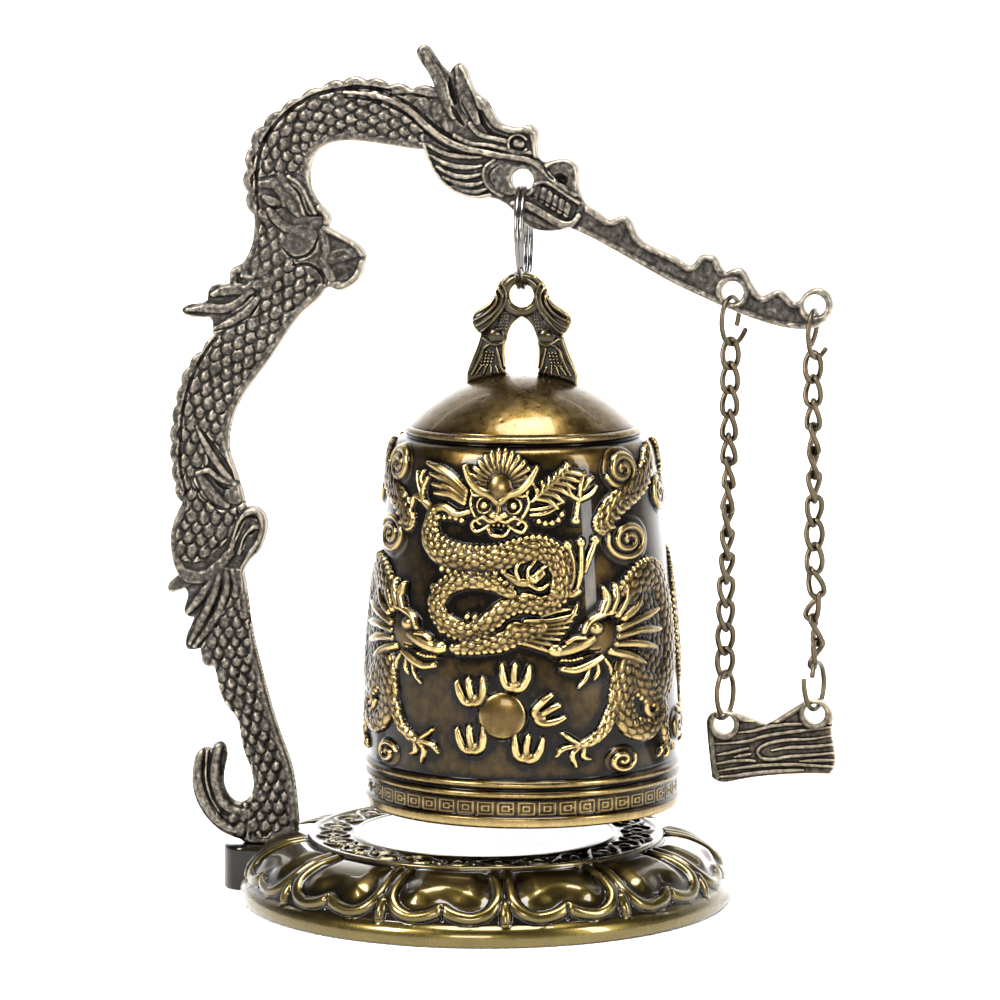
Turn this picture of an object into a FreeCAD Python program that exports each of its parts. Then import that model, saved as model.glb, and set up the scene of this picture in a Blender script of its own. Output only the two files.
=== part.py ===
import FreeCAD, Part
import math
import os

# A table-top temple bell.  A flat cast dragon rises from a round lotus base,
# arches over and ends in a slim arm.  The bell hangs from the dragon's mouth
# on a split ring; a striker plate hangs from the arm on two fine chains and
# is swung against the bell, which has no clapper.
#
# Millimetres.  +Z up, X along the dragon plate (dragon at -X, striker at +X),
# Y through the plate.  The floor is z = 0 and the origin is the middle of the
# object's footprint.

Vec = FreeCAD.Vector
X_AXIS = Vec(1, 0, 0)
Y_AXIS = Vec(0, 1, 0)
Z_AXIS = Vec(0, 0, 1)

# ---------------------------------------------------------------- base
BASE_X = -2.4                # axis of the round base
BASE_R = 35.0
RIM_H = 2.3                  # height of the plain rim band
PETAL_R = 33.9               # outer foot of the petal belt
PETAL_Z = 2.9
PETAL_MID = (31.6, 6.3)      # the belt bulges through this radius and height
PLATEAU_R = 25.3
STEP_Z = 8.4                 # where the petal belt meets the plateau
PLATEAU_Z = 9.3
BASE_WALL = 1.9
LUG_REACH = 38.2             # outer end of the lug from the base axis
LUG_W = 7.0
LUG_Z = 6.4                  # top of the lug, where the dragon stands
LUG_INNER = 26.0             # inner end of the lug from the base axis

# ---------------------------------------------------------------- dragon
PLATE_T = 3.0
MOUTH_HOLE = (3.0, 102.1)
MOUTH_HOLE_R = 1.55
LEFT_HOLE = (32.6, 86.8)
RIGHT_HOLE = (44.1, 85.1)
TIP_HOLE_R = 1.5

# ---------------------------------------------------------------- fixing
BOSS_X = -35.0               # screw line, through the middle of the foot
BOSS_R = 2.4
BOSS_Z = 3.1                 # underside of the boss below the dragon's foot
SOCKET_GAP = 0.05
SCREW_R = 1.25               # M2.5
SCREW_TIP_Z = 6.1
HEAD_R = 2.2
HEAD_H = 1.4
HEAD_TOP_Z = 1.8
SCREW_HOLE_GAP = 0.15
THREAD_GAP = 0.01
TAP_RUN_OUT = 0.3            # tapped depth past the screw's tip
HEAD_ROUND = 0.5
HEAD_POCKET_GAP = 0.3
RECESS = (2.4, 0.5, 0.8)     # length, width and depth of each slot of the cross
CUT_PAST = 1.0               # how far a cutting shape runs past what it cuts

# ---------------------------------------------------------------- rings
WIRE_R = 0.375               # wire of the split ring, which has two coils
SPLIT_R = 7.15               # centre line of the split ring
JUMP_WIRE_R = 0.37
JUMP_R = 3.3
GAP = 0.06                   # play left where a ring hangs in a hole
LINKAGE_GAP = 0.25           # more play at the striker's right hole, so the linkage closes
LINK_GAP = 0.03              # play between a jump ring and the first link on it
SLIT_DEG = 6.0               # the cut in a jump ring
SLIT_AT_DEG = 100.0          # where the cut lies, round from the front

# ---------------------------------------------------------------- bell
BELL_X = MOUTH_HOLE[0]
CROWN_T = 4.0
CROWN_HOLE_R = 1.65
DOME_TOP_Z = 75.0
DOME_SPHERE_R = 21.2
SHOULDER_R = 16.2            # foot of the dome
BEAD_R = 0.65
BEAD_RING_R = 16.15
BEAD_Z = 67.1
BODY = [(16.3, 66.5), (17.6, 65.9), (18.3, 64.6), (18.7, 62.5), (19.7, 54.0),
        (20.7, 45.0), (21.5, 36.0), (21.95, 28.0), (22.0, 21.2)]
BAND_R = 21.9
RIDGES_Z = (20.2, 18.8)
RIDGE_R = 0.62
LIP_Z = 14.2
LIP_R = 22.45
LIP_H = 1.6
LIP_ROUND = 0.4
BELL_WALL = 2.0

# ---------------------------------------------------------------- striker
LINK_WIRE_R = 0.3
LINK_PITCH = 3.36
LINK_W = 2.8                 # outer width of a link
LEFT_LINKS = 14
RIGHT_LINKS = 13
LEFT_TURN = -90.0            # slow twist of the left chain over its length
STRIKER_T = 2.4
STRIKER_HOLE_R = 1.4


def hang_drop(hole_r, wire_r, ring_r, thickness, half_spread=0.0, gap=GAP):
    """How far a ring's nearest centre line lies from the middle of its hole."""
    reach = hole_r - wire_r - gap
    depth = math.sqrt(reach ** 2 - half_spread ** 2)
    half = thickness / 2
    sagitta = ring_r - math.sqrt(ring_r ** 2 - half ** 2)
    return depth - sagitta


# Where each hanging piece comes to rest follows from the hole above it.
SPLIT_TOP_Z = MOUTH_HOLE[1] - hang_drop(MOUTH_HOLE_R, WIRE_R, SPLIT_R, PLATE_T, WIRE_R)
SPLIT_Z = SPLIT_TOP_Z - SPLIT_R
CROWN_HOLE_Z = (SPLIT_TOP_Z - 2 * SPLIT_R
                - hang_drop(CROWN_HOLE_R, WIRE_R, SPLIT_R, CROWN_T, WIRE_R))
JUMP_DROP = hang_drop(TIP_HOLE_R, JUMP_WIRE_R, JUMP_R, PLATE_T)
STRIKER_DROP = {"left": hang_drop(STRIKER_HOLE_R, JUMP_WIRE_R, JUMP_R, STRIKER_T),
                "right": hang_drop(STRIKER_HOLE_R, JUMP_WIRE_R, JUMP_R, STRIKER_T,
                                   gap=LINKAGE_GAP)}
LINK_SEAT = JUMP_WIRE_R + LINK_WIRE_R + LINK_GAP
LINK_HALF = LINK_PITCH / 2 + LINK_WIRE_R     # centre of a link to its end arc
CHAIN_LEAN = {"left": (-0.25, -0.55), "right": (-0.25, 0.75)}


def chain_line(hole, links, lean):
    """Ring centres of a chain: its top ring, its bottom ring, its hook point."""
    lean_top, lean_bottom = lean
    top_centre = Vec(hole[0] + lean_top / 2, 0, hole[1] - JUMP_DROP - JUMP_R)
    hook = Vec(hole[0] + lean_top, 0, top_centre.z - JUMP_R)
    run = links * LINK_PITCH + 2 * LINK_WIRE_R - 2 * LINK_SEAT
    eye = Vec(hook.x + lean_bottom, 0, hook.z - run)
    bottom_centre = Vec(eye.x, 0, eye.z - JUMP_R)
    return top_centre, hook, eye, bottom_centre


def point(pair, y=0.0):
    return Vec(pair[0], y, pair[1])


def spline(points):
    """A smooth edge through (x, z) points, or a straight one for two."""
    places = [point(p) for p in points]
    if len(places) == 2:
        return Part.LineSegment(places[0], places[1]).toShape()
    curve = Part.BSplineCurve()
    curve.interpolate(places)
    return curve.toShape()


def scallops(points, count, height):
    """A row of bumps along the left side of a smooth line."""
    line = spline(points)
    length = line.Length
    edges = []
    for number in range(count):
        ends = [length * (number + part) / count for part in (0.0, 0.5, 1.0)]
        places = [line.valueAt(line.getParameterByLength(end)) for end in ends]
        along = places[2] - places[0]
        outward = Vec(along.z, 0, -along.x)
        outward.normalize()
        crest = places[1] + outward * height
        edges.append(Part.Arc(places[0], crest, places[2]).toShape())
    return edges


def plate(edges, thickness):
    """A flat solid of an outline drawn in the XZ plane."""
    face = Part.Face(Part.Wire(Part.__sortEdges__(edges)))
    face.translate(Vec(0, -thickness / 2, 0))
    return face.extrude(Vec(0, thickness, 0))


def cross_hole(centre, radius, thickness):
    return Part.makeCylinder(radius, thickness + 2 * CUT_PAST,
                             Vec(centre[0], -thickness / 2 - CUT_PAST, centre[1]), Y_AXIS)


# The dragon's outline, clockwise as seen from the front, starting at the tip
# of the rear horn.  Each list is one smooth stretch between two corners.
REAR_HORN_BACK = [(-11.3, 120.9), (-12.1, 119.9), (-11.1, 117.9), (-10.0, 116.1),
                  (-9.5, 114.9)]
NECK_CREST = [(-9.5, 114.9), (-15.1, 115.0), (-20.4, 115.9), (-24.6, 115.1), (-28.7, 113.3),
              (-32.5, 110.8), (-35.2, 107.9), (-36.3, 104.4), (-36.5, 100.5), (-35.5, 96.8)]
NAPE = [(-35.5, 96.8), (-35.8, 92.9), (-36.5, 91.1), (-37.4, 89.9), (-38.5, 89.4),
        (-39.1, 88.3), (-39.1, 87.1)]
ARM_FIN = [(-39.1, 87.1), (-40.7, 86.9), (-41.8, 86.6), (-42.3, 85.8), (-42.4, 84.7)]
FIN_TIP = [(-42.4, 84.7), (-44.0, 84.1), (-45.5, 83.8), (-46.2, 83.1), (-45.5, 82.4),
           (-43.8, 82.1), (-42.6, 82.2)]
FIN_FOOT = [(-42.6, 82.2), (-41.9, 81.9), (-41.7, 80.8), (-41.5, 79.6)]
BACK_CREST = [(-41.5, 79.6), (-43.1, 77.5), (-45.2, 75.0), (-46.5, 71.6), (-47.3, 68.0),
              (-47.7, 64.3), (-47.5, 60.5), (-46.9, 57.0), (-46.3, 55.6)]
HAUNCH = [(-46.3, 55.6), (-47.5, 53.2), (-48.1, 50.8), (-48.0, 48.5), (-47.5, 46.2),
          (-47.0, 45.2)]
SPUR = [(-47.0, 45.2), (-47.7, 44.6), (-48.6, 43.3), (-48.3, 42.6), (-47.4, 42.7),
        (-46.2, 43.2)]
UPPER_SHIN_FIN = [(-46.2, 43.2), (-45.7, 42.4), (-46.2, 40.4), (-46.1, 39.4), (-45.6, 39.1),
                  (-44.8, 39.1)]
LOWER_SHIN_FIN = [(-44.8, 39.1), (-45.2, 38.0), (-46.1, 35.3), (-45.9, 34.5), (-44.9, 34.3),
                  (-43.9, 34.6)]
SHIN_STEP = [(-43.9, 34.6), (-43.8, 33.2), (-43.3, 32.1), (-42.6, 31.9), (-41.9, 32.0)]
TAIL_INSIDE = [(-41.9, 32.0), (-41.5, 30.2), (-40.8, 27.5), (-39.8, 26.0), (-38.5, 24.3),
               (-38.1, 22.3), (-37.5, 19.5), (-36.6, 17.3), (-36.2, 15.2), (-36.7, 13.3),
               (-38.2, 12.3), (-39.8, 13.2), (-40.6, 15.0), (-40.4, 17.6), (-40.1, 19.8),
               (-40.8, 21.0), (-41.6, 20.9), (-42.2, 19.9)]
TAIL_OUTSIDE = [(-42.2, 19.9), (-43.1, 20.2), (-44.3, 19.6), (-45.1, 17.6), (-45.3, 15.3),
                (-44.8, 12.6), (-43.3, 10.0), (-41.1, 8.0), (-39.4, 7.2), (-38.2, 6.9)]
FOOT = [(-38.2, 6.9), (-37.6, LUG_Z), (-30.2, LUG_Z), (-29.6, 9.7)]
SHIN_FRONT = [(-29.6, 9.7), (-29.9, 13.6), (-30.6, 17.9), (-32.2, 22.4), (-33.9, 27.9),
              (-35.2, 32.9), (-36.4, 38.5), (-36.9, 42.5), (-37.5, 45.6)]
KNEE = [(-37.5, 45.6), (-36.5, 47.4), (-35.2, 48.8), (-34.4, 50.6), (-34.0, 52.7),
        (-34.5, 54.4), (-35.6, 55.2), (-37.0, 55.1)]
BELLY = [(-37.0, 55.1), (-37.5, 57.2), (-38.5, 60.3), (-39.3, 62.6), (-39.4, 65.2),
         (-38.9, 67.8), (-37.6, 70.7), (-33.2, 76.7), (-28.3, 83.4), (-25.9, 85.6),
         (-25.4, 86.4)]
PAW_UNDER = [(-25.4, 86.4), (-24.4, 86.6), (-23.5, 86.3), (-21.6, 86.9), (-20.4, 88.0),
             (-19.7, 89.5), (-19.4, 91.3)]
PAW_TOP = [(-19.4, 91.3), (-20.7, 92.9), (-22.9, 94.2), (-24.9, 95.3)]
THUMB = [(-24.9, 95.3), (-24.5, 96.0), (-24.6, 96.8), (-25.2, 97.6)]
THROAT = [(-25.2, 97.6), (-26.5, 99.2), (-27.4, 101.4), (-27.4, 103.2), (-26.8, 105.2),
          (-25.4, 106.6), (-23.0, 107.3), (-19.9, 107.3), (-15.5, 106.7), (-11.1, 106.2)]
EAR_FAN = [(-11.1, 106.2), (-10.4, 104.6), (-9.6, 103.0), (-8.1, 101.2), (-6.0, 100.0),
           (-3.9, 99.4), (-2.0, 99.6)]
JAW = [(-2.0, 99.6), (-0.6, 99.3), (1.2, 98.2), (2.6, 96.6), (4.2, 95.4), (6.2, 95.0),
       (8.0, 95.1), (9.6, 95.5)]
ARM_UNDER = [(9.6, 95.5), (13.0, 94.0), (18.4, 91.1), (24.1, 88.0), (30.3, 85.2),
             (35.7, 83.1), (41.0, 81.8), (43.7, 81.9), (45.6, 82.9), (46.6, 84.9),
             (46.1, 86.7), (44.7, 87.6), (43.2, 87.2), (42.1, 86.0)]
FLAME_4 = [(42.1, 86.0), (41.1, 85.6), (40.2, 86.5), (38.9, 87.2), (37.8, 86.8), (36.7, 86.3)]
FLAME_3 = [(36.7, 86.3), (35.7, 87.4), (34.8, 89.0), (34.0, 90.1), (32.8, 90.1), (31.8, 89.6)]
FLAME_2 = [(31.8, 89.6), (30.9, 90.4), (30.3, 91.6), (29.3, 92.0), (28.0, 91.8), (27.2, 90.8),
           (26.4, 90.4)]
FLAME_1 = [(26.4, 90.4), (22.9, 92.3), (20.4, 93.5), (19.4, 94.3), (18.7, 95.7), (18.1, 96.8),
           (17.1, 97.3), (16.1, 96.9), (14.8, 96.8)]
ARM_ROOT = [(14.8, 96.8), (13.2, 98.0), (12.1, 98.6)]
NOSE = [(12.1, 98.6), (11.3, 99.8), (10.8, 101.7), (10.9, 103.1), (10.6, 104.2), (9.5, 105.0),
        (7.7, 105.0), (6.1, 104.6)]
BROW = [(6.1, 104.6), (5.2, 105.3), (5.0, 106.6), (5.2, 108.1), (5.0, 109.1), (4.1, 109.8),
        (3.0, 109.5)]
FOREHEAD = [(3.0, 109.5), (1.9, 109.5), (0.3, 109.9), (-0.8, 110.9), (-1.7, 112.6),
            (-2.6, 113.6)]
FRONT_HORN = [(-2.6, 113.6), (-3.6, 114.3), (-4.4, 115.8), (-5.1, 117.7), (-5.9, 118.4),
              (-6.7, 118.0), (-7.3, 117.0)]
REAR_HORN_FRONT = [(-7.3, 117.0), (-8.6, 118.2), (-9.8, 119.9), (-10.6, 120.8),
                   (-11.3, 120.9)]


NECK_SCALLOPS = (12, 0.55)   # count and height
BACK_SCALLOPS = (9, 0.45)


def dragon_edges():
    edges = [spline(REAR_HORN_BACK)]
    edges += scallops(NECK_CREST, *NECK_SCALLOPS)
    edges += [spline(run) for run in (NAPE, ARM_FIN, FIN_TIP, FIN_FOOT)]
    edges += scallops(BACK_CREST, *BACK_SCALLOPS)
    edges += [spline(run) for run in (HAUNCH, SPUR, UPPER_SHIN_FIN, LOWER_SHIN_FIN, SHIN_STEP,
                                      TAIL_INSIDE, TAIL_OUTSIDE)]
    edges += [spline(pair) for pair in zip(FOOT, FOOT[1:])]
    edges += [spline(run) for run in (SHIN_FRONT, KNEE, BELLY, PAW_UNDER, PAW_TOP, THUMB, THROAT,
                                      EAR_FAN, JAW, ARM_UNDER, FLAME_4, FLAME_3, FLAME_2,
                                      FLAME_1, ARM_ROOT, NOSE, BROW, FOREHEAD, FRONT_HORN,
                                      REAR_HORN_FRONT)]
    return edges


def dragon_stand(base):
    """The flat dragon, with a tapped boss under its foot."""
    body = plate(dragon_edges(), PLATE_T)
    body = body.cut(cross_hole(MOUTH_HOLE, MOUTH_HOLE_R, PLATE_T))
    for hole in (LEFT_HOLE, RIGHT_HOLE):
        body = body.cut(cross_hole(hole, TIP_HOLE_R, PLATE_T))
    boss = Part.makeCylinder(BOSS_R, LUG_Z - BOSS_Z, Vec(BOSS_X, 0, BOSS_Z))
    body = body.cut(base).fuse(boss)
    tapped = Part.makeCylinder(SCREW_R + THREAD_GAP,
                               SCREW_TIP_Z + TAP_RUN_OUT - BOSS_Z + CUT_PAST,
                               Vec(BOSS_X, 0, BOSS_Z - CUT_PAST))
    return body.cut(tapped)


def lug_block(reach, half_width, bottom, top):
    """An upright bar with a round outer end, out from the base's axis."""
    centre_x = BASE_X - reach + half_width
    height = top - bottom
    end = Part.makeCylinder(half_width, height, Vec(centre_x, 0, bottom))
    bar = Part.makeBox(reach - half_width - LUG_INNER, 2 * half_width, height,
                       Vec(centre_x, -half_width, bottom))
    return end.fuse(bar)


BELT_DROP = 0.7              # share of the wall by which the inside lies lower under the belt
STEP_SHRINK = 0.2            # share of the wall by which the plateau's inside is narrower


def base_profile(inset):
    """Half section of the base, shrunk by the wall when inset is not 0."""
    foot = Vec(BASE_R - inset, 0, 0)
    rim = Vec(BASE_R - inset, 0, RIM_H)
    belt_foot = Vec(PETAL_R - inset, 0, PETAL_Z)
    belt_mid = Vec(PETAL_MID[0] - inset, 0, PETAL_MID[1] - inset * BELT_DROP)
    belt_top = Vec(PLATEAU_R - inset * STEP_SHRINK, 0, STEP_Z - inset)
    step = Vec(PLATEAU_R - inset * STEP_SHRINK, 0, PLATEAU_Z - inset)
    top = Vec(0, 0, PLATEAU_Z - inset)
    edges = [Part.LineSegment(Vec(0, 0, 0), foot).toShape(),
             Part.LineSegment(foot, rim).toShape(),
             Part.LineSegment(rim, belt_foot).toShape(),
             Part.Arc(belt_foot, belt_mid, belt_top).toShape(),
             Part.LineSegment(belt_top, step).toShape(),
             Part.LineSegment(step, top).toShape(),
             Part.LineSegment(top, Vec(0, 0, 0)).toShape()]
    solid = Part.Face(Part.Wire(edges)).revolve(Vec(0, 0, 0), Z_AXIS, 360)
    solid.translate(Vec(BASE_X, 0, 0))
    return solid


def lotus_base():
    """Hollow casting, open below, with a solid lug for the dragon's foot."""
    shell = base_profile(0.0).cut(base_profile(BASE_WALL))
    shell = shell.fuse(lug_block(LUG_REACH, LUG_W / 2, 0, LUG_Z)).removeSplitter()
    socket = Part.makeCylinder(BOSS_R + SOCKET_GAP, LUG_Z - BOSS_Z + CUT_PAST,
                               Vec(BOSS_X, 0, BOSS_Z))
    shank_hole = Part.makeCylinder(SCREW_R + SCREW_HOLE_GAP, BOSS_Z + CUT_PAST,
                                   Vec(BOSS_X, 0, 0))
    head_pocket = Part.makeCylinder(HEAD_R + HEAD_POCKET_GAP, HEAD_TOP_Z + CUT_PAST,
                                    Vec(BOSS_X, 0, -CUT_PAST))
    return shell.cut(socket).cut(shank_hole).cut(head_pocket)


def stand_screw():
    """Pan-head screw with a cross recess, up into the dragon's boss."""
    head = Part.makeCylinder(HEAD_R, HEAD_H, Vec(BOSS_X, 0, HEAD_TOP_Z - HEAD_H))
    head = head.makeFillet(HEAD_ROUND, [head.Edges[2]])
    shank = Part.makeCylinder(SCREW_R, SCREW_TIP_Z - HEAD_TOP_Z, Vec(BOSS_X, 0, HEAD_TOP_Z))
    screw = head.fuse(shank)
    length, width, depth = RECESS
    for long_x, long_y in ((length, width), (width, length)):
        corner = Vec(BOSS_X - long_x / 2, -long_y / 2, HEAD_TOP_Z - HEAD_H - CUT_PAST)
        screw = screw.cut(Part.makeBox(long_x, long_y, depth + CUT_PAST, corner))
    return screw


def revolve_bell(edges):
    solid = Part.Face(Part.Wire(edges)).revolve(Vec(0, 0, 0), Z_AXIS, 360)
    solid.translate(Vec(BELL_X, 0, 0))
    return solid


def dome_height(radius, inset=0.0):
    sphere = DOME_SPHERE_R - inset
    return DOME_TOP_Z - DOME_SPHERE_R + math.sqrt(sphere ** 2 - radius ** 2)


def bell_form(inset):
    """The bell's form as a full solid, shrunk by the wall for its inside."""
    shoulder = SHOULDER_R - inset
    top = Vec(0, 0, dome_height(0, inset))
    middle = Vec(shoulder / 2, 0, dome_height(shoulder / 2, inset))
    eave = Vec(shoulder, 0, dome_height(shoulder, inset))
    body = [Vec(r - inset, 0, z) for r, z in BODY]
    lip = Vec(BAND_R - inset, 0, LIP_Z)
    side = Part.BSplineCurve()
    side.interpolate(body)
    edges = [Part.Arc(top, middle, eave).toShape(),
             Part.LineSegment(eave, body[0]).toShape(),
             side.toShape(),
             Part.LineSegment(body[-1], lip).toShape(),
             Part.LineSegment(lip, Vec(0, 0, LIP_Z)).toShape(),
             Part.LineSegment(Vec(0, 0, LIP_Z), top).toShape()]
    return revolve_bell(edges)


def bell_ring(radius, z, wire):
    ring = Part.makeTorus(radius, wire)
    ring.translate(Vec(BELL_X, 0, z))
    return ring


def bell_shell():
    """Dome, bead, body, two ridges, key band and thick lip in one casting."""
    shell = bell_form(0.0)
    lip = Part.makeCylinder(LIP_R, LIP_H, Vec(BELL_X, 0, LIP_Z))
    lip = lip.makeFillet(LIP_ROUND, [lip.Edges[0], lip.Edges[2]])
    shell = shell.fuse(lip).fuse(bell_ring(BEAD_RING_R, BEAD_Z, BEAD_R))
    for ridge_z in RIDGES_Z:
        shell = shell.fuse(bell_ring(BAND_R, ridge_z, RIDGE_R))
    return shell.cut(bell_form(BELL_WALL))


# Right half of the crown, outward from its middle line; heights are counted
# from the middle of its hole.
CROWN_SIDE = [(0.0, 3.2), (1.5, 3.0), (2.9, 2.1), (3.5, 1.2), (3.9, 0.0), (4.9, -1.2),
              (6.4, -2.2), (7.1, -3.4), (6.7, -4.8), (5.9, -5.5)]
CROWN_LEG = [(5.9, -5.5), (6.3, -7.0), (7.1, -9.0), (7.9, -11.3)]
CROWN_ARCH = [(2.2, -13.0), (2.3, -9.5), (2.1, -6.2), (1.2, -4.0), (0.0, -3.1)]
CROWN_FOOT_Z = -13.0         # below the dome's surface, and cut off by it


def crown_half(side):
    def placed(points):
        return [(BELL_X + side * x, CROWN_HOLE_Z + z) for x, z in points]
    foot = placed([CROWN_LEG[-1], (CROWN_LEG[-1][0], CROWN_FOOT_Z), CROWN_ARCH[0]])
    edges = [spline(placed(CROWN_SIDE)), spline(placed(CROWN_LEG))]
    edges += [spline(pair) for pair in zip(foot, foot[1:])]
    edges += [spline(placed(CROWN_ARCH)), spline(placed([CROWN_ARCH[-1], CROWN_SIDE[0]]))]
    return plate(edges, CROWN_T)


def bell_crown():
    """The twin-dragon loop on top of the bell, cut to sit on the dome."""
    crown = crown_half(1).fuse(crown_half(-1)).removeSplitter()
    crown = crown.cut(cross_hole((BELL_X, CROWN_HOLE_Z), CROWN_HOLE_R, CROWN_T))
    return crown.cut(bell_form(0.0))


def split_ring():
    """Two coils side by side, drawn as one ring with an oval section."""
    section = [Part.Arc(Vec(-WIRE_R, 0, SPLIT_R + WIRE_R), Vec(-2 * WIRE_R, 0, SPLIT_R),
                        Vec(-WIRE_R, 0, SPLIT_R - WIRE_R)).toShape(),
               Part.LineSegment(Vec(-WIRE_R, 0, SPLIT_R - WIRE_R),
                                Vec(WIRE_R, 0, SPLIT_R - WIRE_R)).toShape(),
               Part.Arc(Vec(WIRE_R, 0, SPLIT_R - WIRE_R), Vec(2 * WIRE_R, 0, SPLIT_R),
                        Vec(WIRE_R, 0, SPLIT_R + WIRE_R)).toShape(),
               Part.LineSegment(Vec(WIRE_R, 0, SPLIT_R + WIRE_R),
                                Vec(-WIRE_R, 0, SPLIT_R + WIRE_R)).toShape()]
    ring = Part.Face(Part.Wire(section)).revolve(Vec(0, 0, 0), X_AXIS, 360)
    ring.translate(Vec(BELL_X, 0, SPLIT_Z))
    return ring


def jump_ring(centre):
    """A wire ring in the YZ plane, with its narrow cut at the back."""
    ring = Part.makeTorus(JUMP_R, JUMP_WIRE_R, Vec(0, 0, 0), Z_AXIS, 0, 360, 360 - SLIT_DEG)
    ring.rotate(Vec(0, 0, 0), Z_AXIS, SLIT_DEG / 2)
    ring.rotate(Vec(0, 0, 0), Y_AXIS, 90)
    ring.rotate(Vec(0, 0, 0), X_AXIS, SLIT_AT_DEG)
    ring.translate(centre)
    return ring


def chain_link():
    """An upright oval link in the XZ plane, centred on the origin."""
    bend = LINK_W / 2 - LINK_WIRE_R
    half_side = LINK_HALF - bend
    pieces = []
    for side in (-1, 1):
        end = Part.makeTorus(bend, LINK_WIRE_R, Vec(0, 0, 0), Z_AXIS, 0, 360, 180)
        end.rotate(Vec(0, 0, 0), X_AXIS, 90 * side)
        end.translate(Vec(0, 0, half_side * side))
        bar = Part.makeCylinder(LINK_WIRE_R, 2 * half_side, Vec(side * bend, 0, -half_side))
        pieces += [end, bar]
    return pieces[0].fuse(pieces[1:]).removeSplitter()


def chain(hook, eye, links, turn):
    """Links from the hook point to the eye, each turned against the last."""
    shapes = []
    along = eye - hook
    lean = math.degrees(math.atan2(-along.x, -along.z))
    unit = Vec(along.x, 0, along.z)
    unit.normalize()
    first = LINK_HALF - LINK_SEAT
    for number in range(links):
        link = chain_link()
        link.rotate(Vec(0, 0, 0), Z_AXIS, number * (90 + turn / (links - 1)))
        link.rotate(Vec(0, 0, 0), Y_AXIS, -lean)
        link.translate(hook + unit * (first + number * LINK_PITCH))
        shapes.append(link)
    return shapes


# The striker's outline, counted from the middle of its left hole, as the
# plate hangs: the right end sits higher because its chain is shorter.
STRIKER_TOP = [(-2.5, 0.2), (-1.9, 1.4), (-0.7, 1.9), (1.2, 1.7), (3.6, 0.9), (5.9, 0.1)]
STRIKER_TOP_RIGHT = [(5.9, 0.1), (8.0, 1.4), (10.4, 3.0), (12.2, 3.9), (13.8, 3.7),
                     (15.0, 2.4), (15.3, 0.4)]
STRIKER_RIGHT = [(15.3, 0.4), (15.5, -2.8), (15.6, -5.6), (15.0, -6.7)]
STRIKER_BOTTOM = [(15.0, -6.7), (11.0, -6.8), (6.5, -7.2), (2.0, -8.0), (-0.6, -8.3),
                  (-1.7, -7.7)]
STRIKER_LEFT = [(-1.7, -7.7), (-2.0, -5.0), (-2.3, -2.4), (-2.5, 0.2)]


def striker_plate(left_hole, right_hole):
    def placed(points):
        return [(left_hole.x + x, left_hole.z + z) for x, z in points]
    edges = [spline(placed(run)) for run in (STRIKER_TOP, STRIKER_TOP_RIGHT, STRIKER_RIGHT,
                                             STRIKER_BOTTOM, STRIKER_LEFT)]
    striker = plate(edges, STRIKER_T)
    for hole in (left_hole, right_hole):
        striker = striker.cut(cross_hole((hole.x, hole.z), STRIKER_HOLE_R, STRIKER_T))
    return striker


def build():
    parts = {}
    parts["lotus_base"] = lotus_base()
    parts["dragon_stand"] = dragon_stand(parts["lotus_base"])
    parts["stand_screw"] = stand_screw()
    parts["split_ring"] = split_ring()
    parts["bell_crown"] = bell_crown()
    parts["bell_shell"] = bell_shell()
    holes = {}
    turns = {"left": LEFT_TURN, "right": 0.0}
    counts = {"left": LEFT_LINKS, "right": RIGHT_LINKS}
    for side, hole in (("left", LEFT_HOLE), ("right", RIGHT_HOLE)):
        top, hook, eye, bottom = chain_line(hole, counts[side], CHAIN_LEAN[side])
        parts[side + "_top_jump_ring"] = jump_ring(top)
        links = chain(hook, eye, counts[side], turns[side])
        for number, link in enumerate(links, 1):
            parts["%s_link_%02d" % (side, number)] = link
        parts[side + "_bottom_jump_ring"] = jump_ring(bottom)
        holes[side] = Vec(eye.x, 0, eye.z - 2 * JUMP_R - STRIKER_DROP[side])
        print(side, "ring centre", top, "hook", hook, "eye", eye, "seat", bottom.z - JUMP_R)
    parts["striker_plate"] = striker_plate(holes["left"], holes["right"])
    print("striker holes", holes)
    print("split ring top", SPLIT_TOP_Z, "centre", SPLIT_Z, "crown hole", CROWN_HOLE_Z)
    return parts


os.makedirs("parts", exist_ok=True)
for name, shape in build().items():
    print(name, "valid" if shape.isValid() else "NOT VALID", len(shape.Solids),
          round(shape.Volume, 2))
    shape.exportStep("parts/%s.step" % name)
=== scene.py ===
import math

import bpy
import numpy as np
from mathutils import Matrix, Vector


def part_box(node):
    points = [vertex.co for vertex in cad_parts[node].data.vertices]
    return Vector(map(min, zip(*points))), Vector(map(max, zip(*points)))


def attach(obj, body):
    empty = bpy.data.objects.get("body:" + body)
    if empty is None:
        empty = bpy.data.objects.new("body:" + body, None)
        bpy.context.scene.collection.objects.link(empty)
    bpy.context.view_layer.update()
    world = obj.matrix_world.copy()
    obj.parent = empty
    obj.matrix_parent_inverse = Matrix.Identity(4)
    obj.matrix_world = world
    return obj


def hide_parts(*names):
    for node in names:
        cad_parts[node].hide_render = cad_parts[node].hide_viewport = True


# Looks of the temple bell.  Its castings are height maps: each relief is drawn
# in millimetres as strokes, bumps, scales and spirals on a sheet, and the sheet
# is laid on the CAD body's own outline or profile.  Chains and rings are swept
# wires.

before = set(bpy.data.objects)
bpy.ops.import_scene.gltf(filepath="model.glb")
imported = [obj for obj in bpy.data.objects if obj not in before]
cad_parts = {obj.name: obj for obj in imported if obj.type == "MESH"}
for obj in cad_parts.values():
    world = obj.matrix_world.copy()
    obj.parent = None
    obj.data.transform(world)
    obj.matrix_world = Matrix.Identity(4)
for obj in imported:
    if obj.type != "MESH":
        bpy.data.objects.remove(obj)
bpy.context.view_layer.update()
MM = 0.001
rng = np.random.default_rng(7)


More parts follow.
